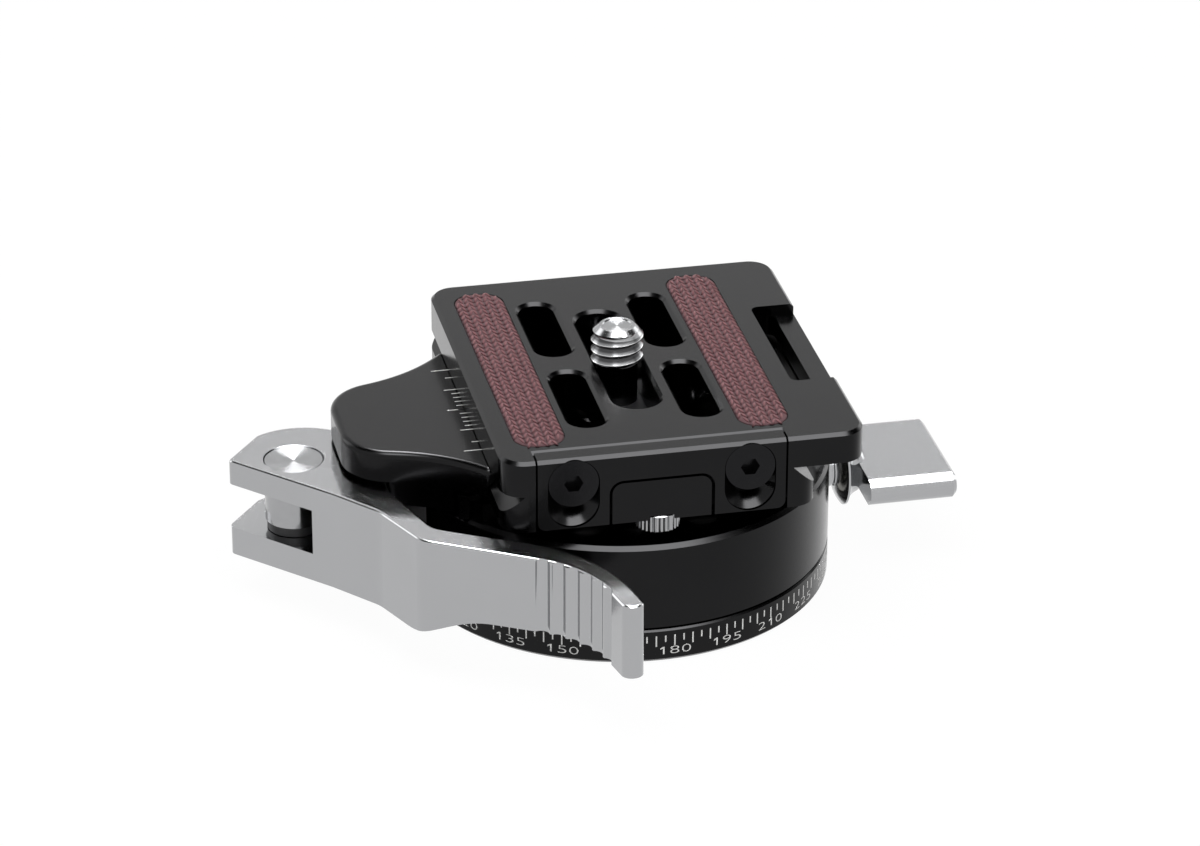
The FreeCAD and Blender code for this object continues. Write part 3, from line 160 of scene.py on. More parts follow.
class TRIPOD_PG_dial(bpy.types.PropertyGroup):
    degrees_at_start: angle("Zero", -266.898, "Where the dial's zero stands")
    long_low: mm("Long mark, low end", 2.08, "Above the underside")
    short_low: mm("Short mark, low end", 2.65, "Above the underside")
    high: mm("Marks, high end", 3.5, "Above the underside")
    mark_width: mm("Mark width", 0.17, "Width of a mark")
    marks: whole("Marks", 72, "Long marks in a turn", 4)
    numbers: whole("Numbers", 24, "Numbers in a turn")
    number_low: mm("Number foot", 0.98, "Above the underside")
    figure_height: mm("Figure height", 1.0, "Height of a figure")
    figure_width: mm("Figure width", 1.1, "Width of a round figure")
    figure_step: mm("Figure step", 1.47, "From one figure to the next")
    thinning: ratio("Figure thinning", 0.018, "Taken off each side of a figure's strokes")
    proud: mm("Print thickness", 0.012, "How far the print stands out")
    sunk: mm("Print root", 0.05, "How deep the print reaches in")
    print_colour: tint("Print", (0.95, 0.95, 0.93), "Dial and scale print")


class TRIPOD_PG_scale(bpy.types.PropertyGroup):
    pitch: mm("Mark pitch", 1.1, "From one mark to the next")
    end: mm("Marks end", 18.9, "From the pan axis, under the plate")
    short_start: mm("Short marks start", 19.75, "From the pan axis")
    medium_start: mm("Medium marks start", 20.5, "From the pan axis")
    long_start: mm("Long marks start", 21.1, "From the pan axis")
    mark_width: mm("Mark width", 0.15, "Width of a mark")


class TRIPOD_PG_pads(bpy.types.PropertyGroup):
    colour: tint("Pad", (0.2, 0.087, 0.093), "Braided pad")
    # Colour painted into the hollows between the stitches as their shade.
    shade: tint("Pad hollows", (0.04, 0.015, 0.018), "Between the stitches")
    columns: whole("Braids", 5, "Braids across a pad")
    rows: whole("Stitches", 36, "Stitches along a pad", 2)
    end_radius: mm("End radius", 2.7, "Rounded ends")
    slab_down: mm("Backing under the stitches", 0.2, "From the pad's top")
    stitch_length: mm("Stitch length", 1.7, "Along a stitch")
    stitch_width: mm("Stitch width", 0.42, "Across a stitch")
    stitch_height: mm("Stitch height", 0.34, "Thickness of a stitch")
    lean: angle("Stitch lean", 19.0, "From the pad's length")
    roll: angle("Stitch roll", 24.0, "Down towards the gap between braids")
    uneven: ratio("Unevenness", 0.08, "How much the stitches differ")
    seed: whole("Seed", 7, "Of the unevenness", 0)


class TRIPOD_PG_screws(bpy.types.PropertyGroup):
    thread_pitch: mm("Camera thread pitch", 1.27, "1/4-20")
    thread_radius: mm("Camera thread", 3.175, "Major radius")
    thread_depth: mm("Thread depth", 0.5, "From crest to root")
    thread_length: mm("Thread length", 4.75, "From the tip down")
    tip_chamfer: mm("Tip chamfer", 1.0, "45 degrees")
    neck_radius: mm("Neck", 2.5, "Under the thread")
    head_thick: mm("Camera screw head", 2.5, "Thickness")
    hex_across: mm("Camera screw socket", 5.0, "Across the flats")
    hex_depth: mm("Socket depth", 2.0, "Of the camera screw")
    knurl_count: whole("Knurls", 30, "Ridges on a stop screw", 6)
    knurl_width: mm("Knurl width", 0.3, "Across a ridge")
    stop_head_radius: mm("Stop screw head", 2.7, "Over the ridges")
    stop_head_height: mm("Stop screw head height", 2.5, "Along its axis")
    stop_shank_radius: mm("Stop screw shank", 1.5, "Radius")
    stop_hex: mm("Stop screw socket", 2.5, "Across the flats")


class TRIPOD_PG_stage(bpy.types.PropertyGroup):
    heading: angle("Camera heading", -12.1724, "Round the pan axis")
    height: angle("Camera height", 26.7410, "Above the horizon")
    roll: angle("Camera roll", 0.15125, "Round its line of sight")
    distance: mm("Camera distance", 581.28, "To the aim point")
    aim: FloatVectorProperty(name="Aim", description="Point that the camera faces",
                             default=(-0.4153 * MM, 8.1778 * MM, 15.0 * MM), subtype="XYZ",
                             unit="LENGTH", precision=5)
    lens: FloatProperty(name="Lens", description="Focal length in millimetres", default=140.56)
    floor_size: mm("Floor", 4000, "Side of the floor")
    fill: ratio("Fill light", 0.55, "Level of the surrounding light")
    key: FloatProperty(name="Key light", description="Watts of the overhead lamp", default=2.4)


# ------ node helpers
FLOAT, VECTOR, WHOLE = "NodeSocketFloat", "NodeSocketVector", "NodeSocketInt"
GEOMETRY, MATERIAL = "NodeSocketGeometry", "NodeSocketMaterial"


class Wire:
    """What a node gives, so that sums between nodes are written with the usual signs."""

    def __init__(self, socket):
        self.socket = socket
        self.tree = socket.id_data


def feed(node, **inputs):
    """Sets or links inputs, named as on the node with _ for a space, or in_0, in_1 by place."""
    for name, value in inputs.items():
        socket = node.inputs[int(name[3:]) if name.startswith("in_") else name.replace("_", " ")]
        if isinstance(value, Wire):
            node.id_data.links.new(value.socket, socket)
        else:
            socket.default_value = value
    return node


def put(tree, kind, settings=None, **inputs):
    """Adds a node and feeds it."""
    node = tree.nodes.new(kind)
    node.location = (200 * (len(tree.nodes) % 8), -260 * (len(tree.nodes) // 8))
    for name, value in (settings or {}).items():
        setattr(node, name, value)
    return feed(node, **inputs)


def flow(tree, kind, output=0, settings=None, **inputs):
    """Adds a node, feeds it, and gives one of its outputs."""
    return Wire(put(tree, kind, settings, **inputs).outputs[output])


def maths(operation, *values, kind="ShaderNodeMath", output=0, **named):
    """The result of a maths node, in the tree of the first wire among its values."""
    tree = next(value.tree for value in values if isinstance(value, Wire))
    named.update((f"in_{i}", value) for i, value in enumerate(values))
    return flow(tree, kind, output, {"operation": operation}, **named)


def vectors(operation, *values, **named):
    """The result of a vector maths node."""
    output = "Value" if operation in ("LENGTH", "DOT_PRODUCT") else "Vector"
    return maths(operation, *values, kind="ShaderNodeVectorMath", output=output, **named)


# The four signs, with a wire on either side of them.
for sign, meaning in (("add", "ADD"), ("sub", "SUBTRACT"), ("mul", "MULTIPLY"), ("truediv", "DIVIDE")):
    setattr(Wire, f"__{sign}__", lambda left, right, meaning=meaning: maths(meaning, left, right))
    setattr(Wire, f"__r{sign}__", lambda right, left, meaning=meaning: maths(meaning, left, right))


def xyz(tree, **parts):
    """A vector from its X, Y and Z."""
    return flow(tree, "ShaderNodeCombineXYZ", **parts)


def axis(vector, letter):
    """A vector's X, Y or Z."""
    return flow(vector.tree, "ShaderNodeSeparateXYZ", letter, Vector=vector)


def ranged(value, low, high, to_low=0.0, to_high=1.0, **settings):
    """Where a value stands from low to high, as to_low to to_high and not past them."""
    return flow(value.tree, "ShaderNodeMapRange", "Result", settings, Value=value,
                From_Min=low, From_Max=high, To_Min=to_low, To_Max=to_high)


def mixed(factor, low, high, **settings):
    """Low where the factor is 0, and high where it's 1."""
    return flow(factor.tree, "ShaderNodeMix", "Result", settings, Factor=factor, A=low, B=high)


def node_group(name, inputs, outputs=None):
    """Turns a function that fills in a tree into one that gives the whole group, made only once.

    inputs and outputs are the sockets' names by type.  The function is called with the tree and
    what its inputs carry, and returns what goes to each output.  A group without outputs adds
    things in one material to the geometry that comes in.
    """
    kind = "ShaderNodeTree" if outputs else "GeometryNodeTree"
    if not outputs:
        outputs = {GEOMETRY: "Geometry"}
        inputs = {**outputs, **inputs, MATERIAL: "Material"}

    def wrap(fill):
        def group():
            if name in bpy.data.node_groups:
                return bpy.data.node_groups[name]
            tree = bpy.data.node_groups.new(name, kind)
            for direction, sockets in (("INPUT", inputs), ("OUTPUT", outputs)):
                for socket_type, labels in sockets.items():
                    for label in labels.split(", "):
                        tree.interface.new_socket(label, in_out=direction, socket_type=socket_type)
            given = {socket.name: Wire(socket) for socket in put(tree, "NodeGroupInput").outputs}
            put(tree, "NodeGroupOutput", **fill(tree, given))
            return tree
        return group
    return wrap


def use_group(tree, group, **inputs):
    """What a shader group gives, by the names of its outputs."""
    node = put(tree, "ShaderNodeGroup", {"node_tree": group}, **inputs)
    return {socket.name: Wire(socket) for socket in node.outputs}


# ------ shader groups
def leant_normal(lean):
    """The surface's normal with a vector added."""
    normal = flow(lean.tree, "ShaderNodeNewGeometry", "Normal")
    return vectors("NORMALIZE", vectors("ADD", normal, lean))


@node_group("Blasted Grain", {VECTOR: "Vector", FLOAT: "Grain Size, Tilt"}, {VECTOR: "Normal"})
def blasted_grain(tree, given):
    """Fine bead-blasted grain: a normal."""
    fine = flow(tree, "ShaderNodeTexNoise", "Color", Vector=given["Vector"], Scale=1.0 / given["Grain Size"],
                Detail=2.0, Roughness=0.6)
    lean = vectors("SUBTRACT", fine, (0.5, 0.5, 0.5))
    return {"Normal": leant_normal(vectors("SCALE", lean, Scale=given["Tilt"]))}


@node_group("Soft Patches", {VECTOR: "Vector", FLOAT: "Patch Size, Low, High"}, {FLOAT: "Value"})
def soft_patches(tree, given):
    """Broad soft patches, between a low and a high value."""
    cloud = flow(tree, "ShaderNodeTexNoise", "Fac", Vector=given["Vector"], Scale=1.0 / given["Patch Size"],
                 Detail=4.0, Roughness=0.55)
    return {"Value": ranged(cloud, *PATCH_LEVELS, given["Low"], given["High"])}


@node_group("Turning Marks", {VECTOR: "Vector", FLOAT: "Pitch, Tilt"},
            {VECTOR: "Normal, Across", FLOAT: "Faced"})
def turning_marks(tree, given):
    """Concentric tool marks of a faced end, round the Z axis of its vector.

    Gives their normal, the direction across them, and where the end is faced.
    """
    flat = vectors("MULTIPLY", given["Vector"], (1.0, 1.0, 0.0))
    outward = flow(tree, "ShaderNodeVectorTransform", "Vector",
                   {"convert_from": "OBJECT", "convert_to": "WORLD"}, Vector=vectors("NORMALIZE", flat))
    turns = vectors("LENGTH", flat) / given["Pitch"]
    uneven = flow(tree, "ShaderNodeTexNoise", "Fac", {"noise_dimensions": "1D"}, W=turns, Scale=1.0,
                  Detail=2.0, Roughness=0.7)
    wave = maths("SINE", turns * math.tau + uneven * math.pi)
    upward = axis(flow(tree, "ShaderNodeNewGeometry", "Normal"), "Z")
    faced = maths("POWER", maths("ABSOLUTE", upward), FACED_POWER)
    return {"Normal": leant_normal(vectors("SCALE", outward, Scale=wave * uneven * given["Tilt"] * faced)),
            "Across": vectors("ADD", outward, (0.0, 0.0, 0.5)), "Faced": faced}


@node_group("Studio Panel",
            {VECTOR: "Direction, Aim, Sideways, Upwards", FLOAT: "Half Width, Half Height, Level"},
            {FLOAT: "Value"})
def studio_panel(tree, given):
    """A soft-edged studio panel in the surround: a level inside it, nought outside."""
    ahead = vectors("DOT_PRODUCT", given["Direction"], given["Aim"])
    value = maths("GREATER_THAN", ahead, 0.05) * given["Level"]
    for side, half in (("Sideways", "Half Width"), ("Upwards", "Half Height")):
        off = maths("ABSOLUTE", vectors("DOT_PRODUCT", given["Direction"], given[side]) / ahead)
        value = value * ranged(off, given[half] * (1 + PANEL_EDGE), given[half] * (1 - PANEL_EDGE),
                               interpolation_type="SMOOTHSTEP")
    return {"Value": value}


# ------ materials
def new_material(name):
    """A material, its Principled shader and its Object coordinates."""
    material = bpy.data.materials.new(name)
    material.use_nodes = True
    tree = material.node_tree
    return material, tree.nodes["Principled BSDF"], flow(tree, "ShaderNodeTexCoord", "Object")


def patches(place, size, low=0.0, high=1.0):
    """A value in soft patches."""
    return use_group(place.tree, soft_patches(), Vector=place, Patch_Size=size, Low=low, High=high)["Value"]


def grain(place, size, tilt):
    """A blasted normal."""
    return use_group(place.tree, blasted_grain(), Vector=place, Grain_Size=size, Tilt=tilt)["Normal"]


def tinted(value, dark, light):
    """A colour between two, by a value."""
    ramp = put(value.tree, "ShaderNodeValToRGB", Fac=value)
    for stop, colour in zip(ramp.color_ramp.elements, (dark, light)):
        stop.color = (*colour, 1.0)
    return Wire(ramp.outputs["Color"])


def scaled(colour, share):
    return tuple(min(1.0, c * share) for c in colour)


def metal(name, colour, roughness, grain_size, spread=0.05, shade=0.94, patch=7 * MM, tilt=0.05):
    """Blasted or satin metal with slight patches of tone and gloss."""
    material, shader, place = new_material(name)
    feed(shader, Metallic=1.0, Normal=grain(place, grain_size, tilt),
         Base_Color=tinted(patches(place, patch), scaled(colour, shade), colour),
         Roughness=patches(place, patch / 3, roughness * (1 - spread), roughness * (1 + spread)))
    return material


def turned_metal(name, look, colour, roughness, centre, tilt, painted_light=None):
    """Machined metal whose end face shows concentric tool marks round centre.

    painted_light changes the colour, which it's given with the coordinates from the centre, to paint
    highlights and shade on it.
    """
    material, shader, place = new_material(name)
    tree = place.tree
    centred = flow(tree, "ShaderNodeMapping", "Vector", {"vector_type": "TEXTURE"}, Vector=place,
                   Location=centre)
    base = tinted(patches(centred, 2 * MM), scaled(colour, 0.9), colour)
    marks = use_group(tree, turning_marks(), Vector=centred, Pitch=look.turning, Tilt=tilt)
    feed(shader, Metallic=1.0, Base_Color=painted_light(centred, base) if painted_light else base, Normal=marks["Normal"],
         Tangent=marks["Across"], Anisotropic=marks["Faced"] * FACED_STRETCH,
         Roughness=ranged(marks["Faced"], 0.0, 1.0, roughness, FACED_ROUGHNESS))
    return material


def plastic(name, colour):
    """Moulded plastic with a fine sparked grain."""
    material, shader, place = new_material(name)
    feed(shader, Base_Color=tinted(patches(place, 3 * MM), scaled(colour, 0.8), scaled(colour, 1.3)),
         Roughness=0.45, Normal=grain(place, 0.2 * MM, 0.12))
    return material


def print_ink(colour):
    """Pale printing ink, slightly worn, that the dial and the scale share."""
    name = "dial_print"
    if name in bpy.data.materials:
        return bpy.data.materials[name]
    material, shader, place = new_material(name)
    feed(shader, Base_Color=tinted(patches(place, 0.5 * MM), scaled(colour, 0.82), colour), Roughness=0.55)
    return material


def braid(pads, top, inner, width):
    """Woven pad: painted shade between the stitches and between the braids."""
    material, shader, place = new_material("grip_braid")
    # Painted shade: darker deeper under the pad's top and near the gaps between braids, times random tone.
    depth = ranged(axis(place, "Z"), *(top - under for under in PAD_SHADE))
    across = maths("ABSOLUTE", axis(place, "X")) - inner
    column = width / pads.columns
    valley_shade = ranged(maths("PINGPONG", across, column / 2), 0.0, column * VALLEY_SHARE,
                    interpolation_type="SMOOTHSTEP")
    shade_and_tone = depth * (valley_shade * patches(place, 0.9 * MM, 0.75))
    feed(shader, Base_Color=tinted(shade_and_tone, pads.shade, pads.colour), Roughness=0.72, Specular_IOR_Level=0.25,
         Sheen_Weight=0.05, Sheen_Roughness=0.4, Normal=grain(place, 0.12 * MM, 0.5))
    return material


def dress(material, *nodes):
    """Gives CAD nodes a material."""
    for node in nodes:
        for held in NODES[node].material_slots:
            held.material = material


# ------ mesh helpers
def piece_from(name, shape, material, smooth_under=None):
    """A new piece at the origin from a bmesh: faces outward, smooth under an angle in degrees."""
    bmesh.ops.remove_doubles(shape, verts=shape.verts, dist=1e-7)
    bmesh.ops.recalc_face_normals(shape, faces=shape.faces)
    mesh = bpy.data.meshes.new(name)
    shape.to_mesh(mesh)
    shape.free()
    mesh.materials.append(material)
    if smooth_under:
        mesh.shade_smooth()
        mesh.set_sharp_from_angle(angle=math.radians(smooth_under))
    piece = bpy.data.objects.new(name, mesh)
    bpy.context.scene.collection.objects.link(piece)
    return piece


def as_mesh(thing):
    """What an object looks like now, as a plain mesh."""
    return bpy.data.meshes.new_from_object(thing.evaluated_get(bpy.context.evaluated_depsgraph_get()))


def with_nodes(piece, tree, values):
    """Runs a Geometry Nodes tree on a piece and keeps its result."""
    modifier = piece.modifiers.new(tree.name, "NODES")
    modifier.node_group = tree
    for item in tree.interface.items_tree:
        if item.in_out == "INPUT" and item.name in values:
            modifier[item.identifier] = values[item.name]
    made = as_mesh(piece)
    piece.modifiers.remove(modifier)
    piece.data = made


def polar(radius, turn, height=0.0):
    """The point at a radius and a turn round the Z axis."""
    return Vector((radius * math.cos(turn), radius * math.sin(turn), height))


def skin(shape, rings):
    """Joins closed rings of points one to the next.  A ring of one point is a tip."""
    for low, high in zip(rings, rings[1:]):
        for i in range(max(len(low), len(high))):
            corners = [ring[j % len(ring)] for ring, j in ((low, i), (low, i + 1), (high, i + 1), (high, i))]
            shape.faces.new(list(dict.fromkeys(corners)))


def lathe(shape, profile, centre):
    """Adds a surface turned round a vertical axis.  profile is (radius, height)."""
    rings = []
    for radius, height in profile:
        steps = TURN_STEPS if radius else 1
        rings.append([shape.verts.new(centre + polar(radius, math.tau * i / steps, height))
                      for i in range(steps)])
    skin(shape, rings)
    return rings


def socket_end(shape, ring, centre, across, depth, height):
    """Closes a round end at height with a hexagon socket that sinks upwards."""
    corner = across / math.sqrt(3)
    edge, bottom = ([shape.verts.new(centre + polar(corner, math.pi / 3 * i, z)) for i in range(6)]
                    for z in (height, height + depth))
    steps = len(ring)
    half_side = steps // 6 / 2
    for i in range(6):
        near, after = edge[i], edge[(i + 1) % 6]
        start = round(i * steps / 6)
        for j in range(start, round((i + 1) * steps / 6)):
            first, second = ring[j % steps], ring[(j + 1) % steps]
            shape.faces.new((first, second, near if j < start + half_side else after))
            if j < start + half_side <= j + 1:
                shape.faces.new((second, after, near))
        shape.faces.new((near, after, bottom[(i + 1) % 6], bottom[i]))
    shape.faces.new(bottom)


def rounded_strip(shape, half_width, half_length, radius, centre, low, high, edge):
    """Adds a slab with rounded corners and an eased top edge."""
    def outline(inset, z):
        corners = []
        for sx, sy, start in ((1, 1, 0), (-1, 1, 90), (-1, -1, 180), (1, -1, 270)):
            for degrees in range(start, start + 91, CORNER_DEGREES):
                turn = math.radians(degrees)
                corners.append(shape.verts.new(centre + Vector((
                    sx * (half_width - radius) + (radius - inset) * math.cos(turn),
                    sy * (half_length - radius) + (radius - inset) * math.sin(turn), z))))
        return corners
    loops = [outline(0, low), outline(0, high - edge), outline(edge * 0.3, high - edge * 0.3),
             outline(edge, high)]
    skin(shape, loops)
    shape.faces.new(loops[0][::-1])
    shape.faces.new(loops[-1])


# ------ geometry trees
def copies(points, shape, **turned):
    """One copy of a shape on each point."""
    return flow(points.tree, "GeometryNodeInstanceOnPoints", Points=points, Instance=shape, **turned)


def laid_on(given, placed):
    """Real, painted copies joined to what comes in."""
    real = flow(placed.tree, "GeometryNodeRealizeInstances", Geometry=placed)
    painted = flow(placed.tree, "GeometryNodeSetMaterial", Geometry=real, Material=given["Material"])
    joined = put(placed.tree, "GeometryNodeJoinGeometry", Geometry=painted)
    feed(joined, Geometry=given["Geometry"])
    return {"Geometry": Wire(joined.outputs[0])}


def round_the_axis(tree, given, shape, start, centre):
    """Copies of a shape round an upright axis, joined to what comes in."""
    turn = start + flow(tree, "GeometryNodeInputIndex") * (math.tau / given["Count"])
    spot = xyz(tree, X=maths("COSINE", turn) * given["Radius"], Y=maths("SINE", turn) * given["Radius"])
    points = flow(tree, "GeometryNodePoints", Count=given["Count"], Position=vectors("ADD", spot, centre))
    spin = flow(tree, "FunctionNodeEulerToRotation", Euler=xyz(tree, Z=turn))
    return laid_on(given, copies(points, shape, Rotation=spin))


@node_group("Ring of Marks", {WHOLE: "Count", FLOAT: "Radius, Start, Mark Width, Mark Depth, Low, High"})
def ring_of_marks(tree, given):
    """Upright marks round the Z axis, joined to what comes in."""
    mark = flow(tree, "GeometryNodeMeshCube", Size=xyz(
        tree, X=given["Mark Depth"], Y=given["Mark Width"], Z=given["High"] - given["Low"]))
    middle_height = (given["Low"] + given["High"]) * 0.5
    return round_the_axis(tree, given, mark, given["Start"], xyz(tree, Z=middle_height))


@node_group("Row of Marks", {
    WHOLE: "Count", FLOAT: "Pitch, First, From X, To X, Height, Mark Width, Mark Depth"})
def row_of_marks(tree, given):
    """Level marks in a row along Y, joined to what comes in."""
    spot = xyz(tree, X=(given["From X"] + given["To X"]) * 0.5, Z=given["Height"],
               Y=given["First"] + flow(tree, "GeometryNodeInputIndex") * given["Pitch"])
    points = flow(tree, "GeometryNodePoints", Count=given["Count"], Position=spot)
    mark = flow(tree, "GeometryNodeMeshCube", Size=xyz(
        tree, X=given["To X"] - given["From X"], Y=given["Mark Width"], Z=given["Mark Depth"]))
    return laid_on(given, copies(points, mark))


@node_group("Knurled Ring", {WHOLE: "Count", FLOAT: "Radius, Knurl Width, Knurl Height", VECTOR: "Centre"})
def knurled_ring(tree, given):
    """Straight knurls round a vertical axis, joined to the head that comes in."""
    bar = flow(tree, "GeometryNodeMeshCylinder", Vertices=4, Depth=given["Knurl Height"],
               Radius=given["Knurl Width"] * KNURL_REACH)
    return round_the_axis(tree, given, bar, 0.0, given["Centre"])


@node_group("Braided Field", {
    WHOLE: "Columns, Rows, Seed", FLOAT: "Width, Length, End Radius, Stitch Length, Stitch Width, "
    "Stitch Height, Lean, Roll, Uneven, Pad Offset, Pad Y, Level"})
def braided_field(tree, given):
    """Chevron stitches over two rounded pads, joined to the backing that comes in."""
    width, length, offset = given["Width"], given["Length"], given["Pad Offset"]
    pitch = width / given["Columns"]
    grid = flow(tree, "GeometryNodeMeshGrid", Vertices_X=given["Columns"], Vertices_Y=given["Rows"],
                Size_X=width - pitch, Size_Y=length - length / given["Rows"])
    place = flow(tree, "GeometryNodeInputPosition")
    over_x, over_y = (
        maths("MAXIMUM", 0.0, maths("ABSOLUTE", axis(place, letter)) - (span * 0.5 - given["End Radius"]))
        for letter, span in (("X", width), ("Y", length)))
    reach = maths("SQRT", over_x * over_x + over_y * over_y)
    outside = flow(tree, "FunctionNodeCompare", 0, {"operation": "GREATER_THAN"}, in_0=reach,
                   in_1=given["End Radius"] - pitch * END_MARGIN)
    kept = flow(tree, "GeometryNodeDeleteGeometry", Geometry=grid, Selection=outside)
    column = maths("FLOOR", (axis(place, "X") + width * 0.5) / pitch)
    side = maths("FLOORED_MODULO", column, 2.0) * 2.0 - 1.0
    shaped = flow(tree, "GeometryNodeTransform", Scale=xyz(
        tree, X=given["Stitch Width"], Y=given["Stitch Length"], Z=given["Stitch Height"]),
        Geometry=flow(tree, "GeometryNodeMeshUVSphere", Segments=8, Rings=5, Radius=0.5))
    wobble = flow(tree, "FunctionNodeRandomValue", 0, {"data_type": "FLOAT_VECTOR"}, in_0=(-1.0, -1.0, -1.0),
                  in_1=(1.0, 1.0, 1.0), Seed=given["Seed"])
    tilt = vectors("ADD", vectors("SCALE", wobble, Scale=given["Uneven"]),
                   xyz(tree, Y=side * given["Roll"], Z=side * given["Lean"]))
    stitches = copies(kept, flow(tree, "GeometryNodeSetShadeSmooth", Geometry=shaped),
                      Rotation=flow(tree, "FunctionNodeEulerToRotation", Euler=tilt))
    ends = flow(tree, "GeometryNodeMeshLine", 0, {"mode": "OFFSET"}, Count=2,
                Start_Location=xyz(tree, X=offset * -1.0, Y=given["Pad Y"], Z=given["Level"]),
                Offset=xyz(tree, X=offset * 2.0))
    return laid_on(given, copies(ends, stitches))


# ------ operators
class TRIPOD_OT_housings(bpy.types.Operator):
    """Finish the base, drum, clamp, jaw, camera plate and flange in black anodising"""
    bl_idname = "tripod.housings"
    bl_label = "Housings"

    def execute(self, context):
        look = context.scene.tripod_finishes
        dress(metal("black_anodising", look.anodised, look.anodised_roughness, look.grain),
              "base_ring", "drum", "clamp_bed", "moving_jaw", "camera_plate", "anti_twist_flange")
        return {"FINISHED"}


class TRIPOD_OT_controls(bpy.types.Operator):
    """Finish the clamp lever and the lock knob in satin silver, and the lever's pin in turned steel"""
    bl_idname = "tripod.controls"
    bl_label = "Lever and knob"

    def execute(self, context):
        look = context.scene.tripod_finishes
        dress(metal("satin_silver", look.silver, look.silver_roughness, look.grain,
                    spread=0.03, shade=0.97, patch=12 * MM), "clamp_lever", "pan_knob")
        low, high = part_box("lever_pin")
        dress(turned_metal("turned_pin", look, look.steel, look.steel_roughness, (low + high) / 2, tilt=0.16),
              "lever_pin")
        return {"FINISHED"}


class TRIPOD_OT_hardware(bpy.types.Operator):
    """Finish the spindle, washers, springs, draw-bar and the other inner parts"""
    bl_idname = "tripod.hardware"
    bl_label = "Inner hardware"

    def execute(self, context):
        look = context.scene.tripod_finishes
        dress(turned_metal("turned_aluminium", look, look.silver, look.silver_roughness, (0, 0, 0), tilt=0.3),
              "spindle", "retainer_plate", "tripod_insert")
        dress(metal("plated_steel", look.steel, look.steel_roughness, look.grain, patch=2 * MM),
              "spindle_screws", "retainer_screws", "bed_screws", "guide_pins", "draw_bar", "anchor_dowel",
              "jaw_spring")
        dress(metal("nickelled_brass", look.brass, look.steel_roughness, look.grain, patch=2 * MM),
              "knob_bush")
        dress(plastic("moulded_plastic", look.plastic),
              "thrust_washer", "glide_washer", "pivot_washers", "screw_clip", "brake_shoe")
        return {"FINISHED"}


class TRIPOD_OT_flange_screws(bpy.types.Operator):
    """Finish the anti-twist flange's countersunk screws in blackened steel"""
    bl_idname = "tripod.flange_screws"
    bl_label = "Flange screws"

    def execute(self, context):
        look = context.scene.tripod_finishes
        dress(metal("blackened_steel", look.black_steel, BLACK_STEEL_ROUGHNESS, look.grain * 0.8,
                    patch=1.5 * MM, tilt=0.16), "flange_screws")
        return {"FINISHED"}


class TRIPOD_OT_dial(bpy.types.Operator):
    """Print the degree dial round the base ring"""
    bl_idname = "tripod.dial"
    bl_label = "Degree dial"

    def execute(self, context):
        dial = context.scene.tripod_dial
        ink = print_ink(dial.print_colour)
        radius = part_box("base_ring")[1].x
        depth = dial.proud + dial.sunk
        marks = piece_from("dial_marks", bmesh.new(), ink)
        values = {"Count": dial.marks, "Radius": radius + dial.proud - depth / 2, "High": dial.high,
                  "Mark Width": dial.mark_width, "Mark Depth": depth, "Material": ink}
        for start, low in ((0.0, dial.long_low), (math.pi / dial.marks, dial.short_low)):
            with_nodes(marks, ring_of_marks(), {**values, "Start": dial.degrees_at_start + start, "Low": low})
        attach(marks, "base")
        numbers = piece_from("dial_numbers", self.numbers(dial, radius), ink)
        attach(numbers, "base")
        return {"FINISHED"}

    def numbers(self, dial, radius):
        """Every number as a mesh bent round the ring."""
        shape = bmesh.new()
        half_depth = (dial.proud + dial.sunk) / 2
        figures = {figure: self.figure(figure, dial, half_depth) for figure in "023456789"}
        figures["1"] = self.one(dial, half_depth)
        for i in range(dial.numbers):
            value = round(360 * i / dial.numbers)
            text = str(value)
            for place, figure in enumerate(text):
                across = (place - (len(text) - 1) / 2) * dial.figure_step
                flat = figures[figure].copy()
                for vertex in flat.vertices:
                    turn = dial.degrees_at_start + math.radians(value) + (across + vertex.co.x) / radius
                    reach = radius + dial.proud - half_depth + vertex.co.z
                    vertex.co = polar(reach, turn, dial.number_low + vertex.co.y)
                shape.from_mesh(flat)
                bpy.data.meshes.remove(flat)
        for flat in figures.values():
            bpy.data.meshes.remove(flat)
        return shape

    def figure(self, text, dial, half_depth):
        """One figure as a flat mesh, as wide and high as the dial's, standing on its foot."""
        curve = bpy.data.curves.new(f"figure_{text}", "FONT")
        curve.body = text
        curve.extrude = half_depth
        curve.offset = -dial.thinning
        holder = bpy.data.objects.new(curve.name, curve)
        bpy.context.scene.collection.objects.link(holder)
        flat = as_mesh(holder)
        bpy.data.objects.remove(holder)
        bpy.data.curves.remove(curve)
        low, high = ([pick(v.co[axis] for v in flat.vertices) for axis in (0, 1)] for pick in (min, max))
        for vertex in flat.vertices:
            vertex.co.x = (vertex.co.x - (low[0] + high[0]) / 2) * dial.figure_width / (high[0] - low[0])
            vertex.co.y = (vertex.co.y - low[1]) * dial.figure_height / (high[1] - low[1])
        return flat

    def one(self, dial, half_depth):
        """The figure 1: a plain stem with a flag."""
        stem, tall, reach = dial.mark_width * 0.55, dial.figure_height, dial.figure_width * 0.3
        outline = [(-stem, 0), (stem, 0), (stem, tall), (-stem, tall), (-stem - reach, tall * 0.82),
                   (-stem - reach, tall * 0.66), (-stem, tall * 0.8)]
        shape = bmesh.new()
        face = shape.faces.new([shape.verts.new((x + reach / 3, y, -half_depth)) for x, y in outline])
        raised = bmesh.ops.extrude_face_region(shape, geom=[face])
        bmesh.ops.translate(shape, verts=[v for v in raised["geom"] if isinstance(v, bmesh.types.BMVert)],
                            vec=(0, 0, 2 * half_depth))
        flat = bpy.data.meshes.new("figure_1")
        shape.to_mesh(flat)
        shape.free()
        return flat


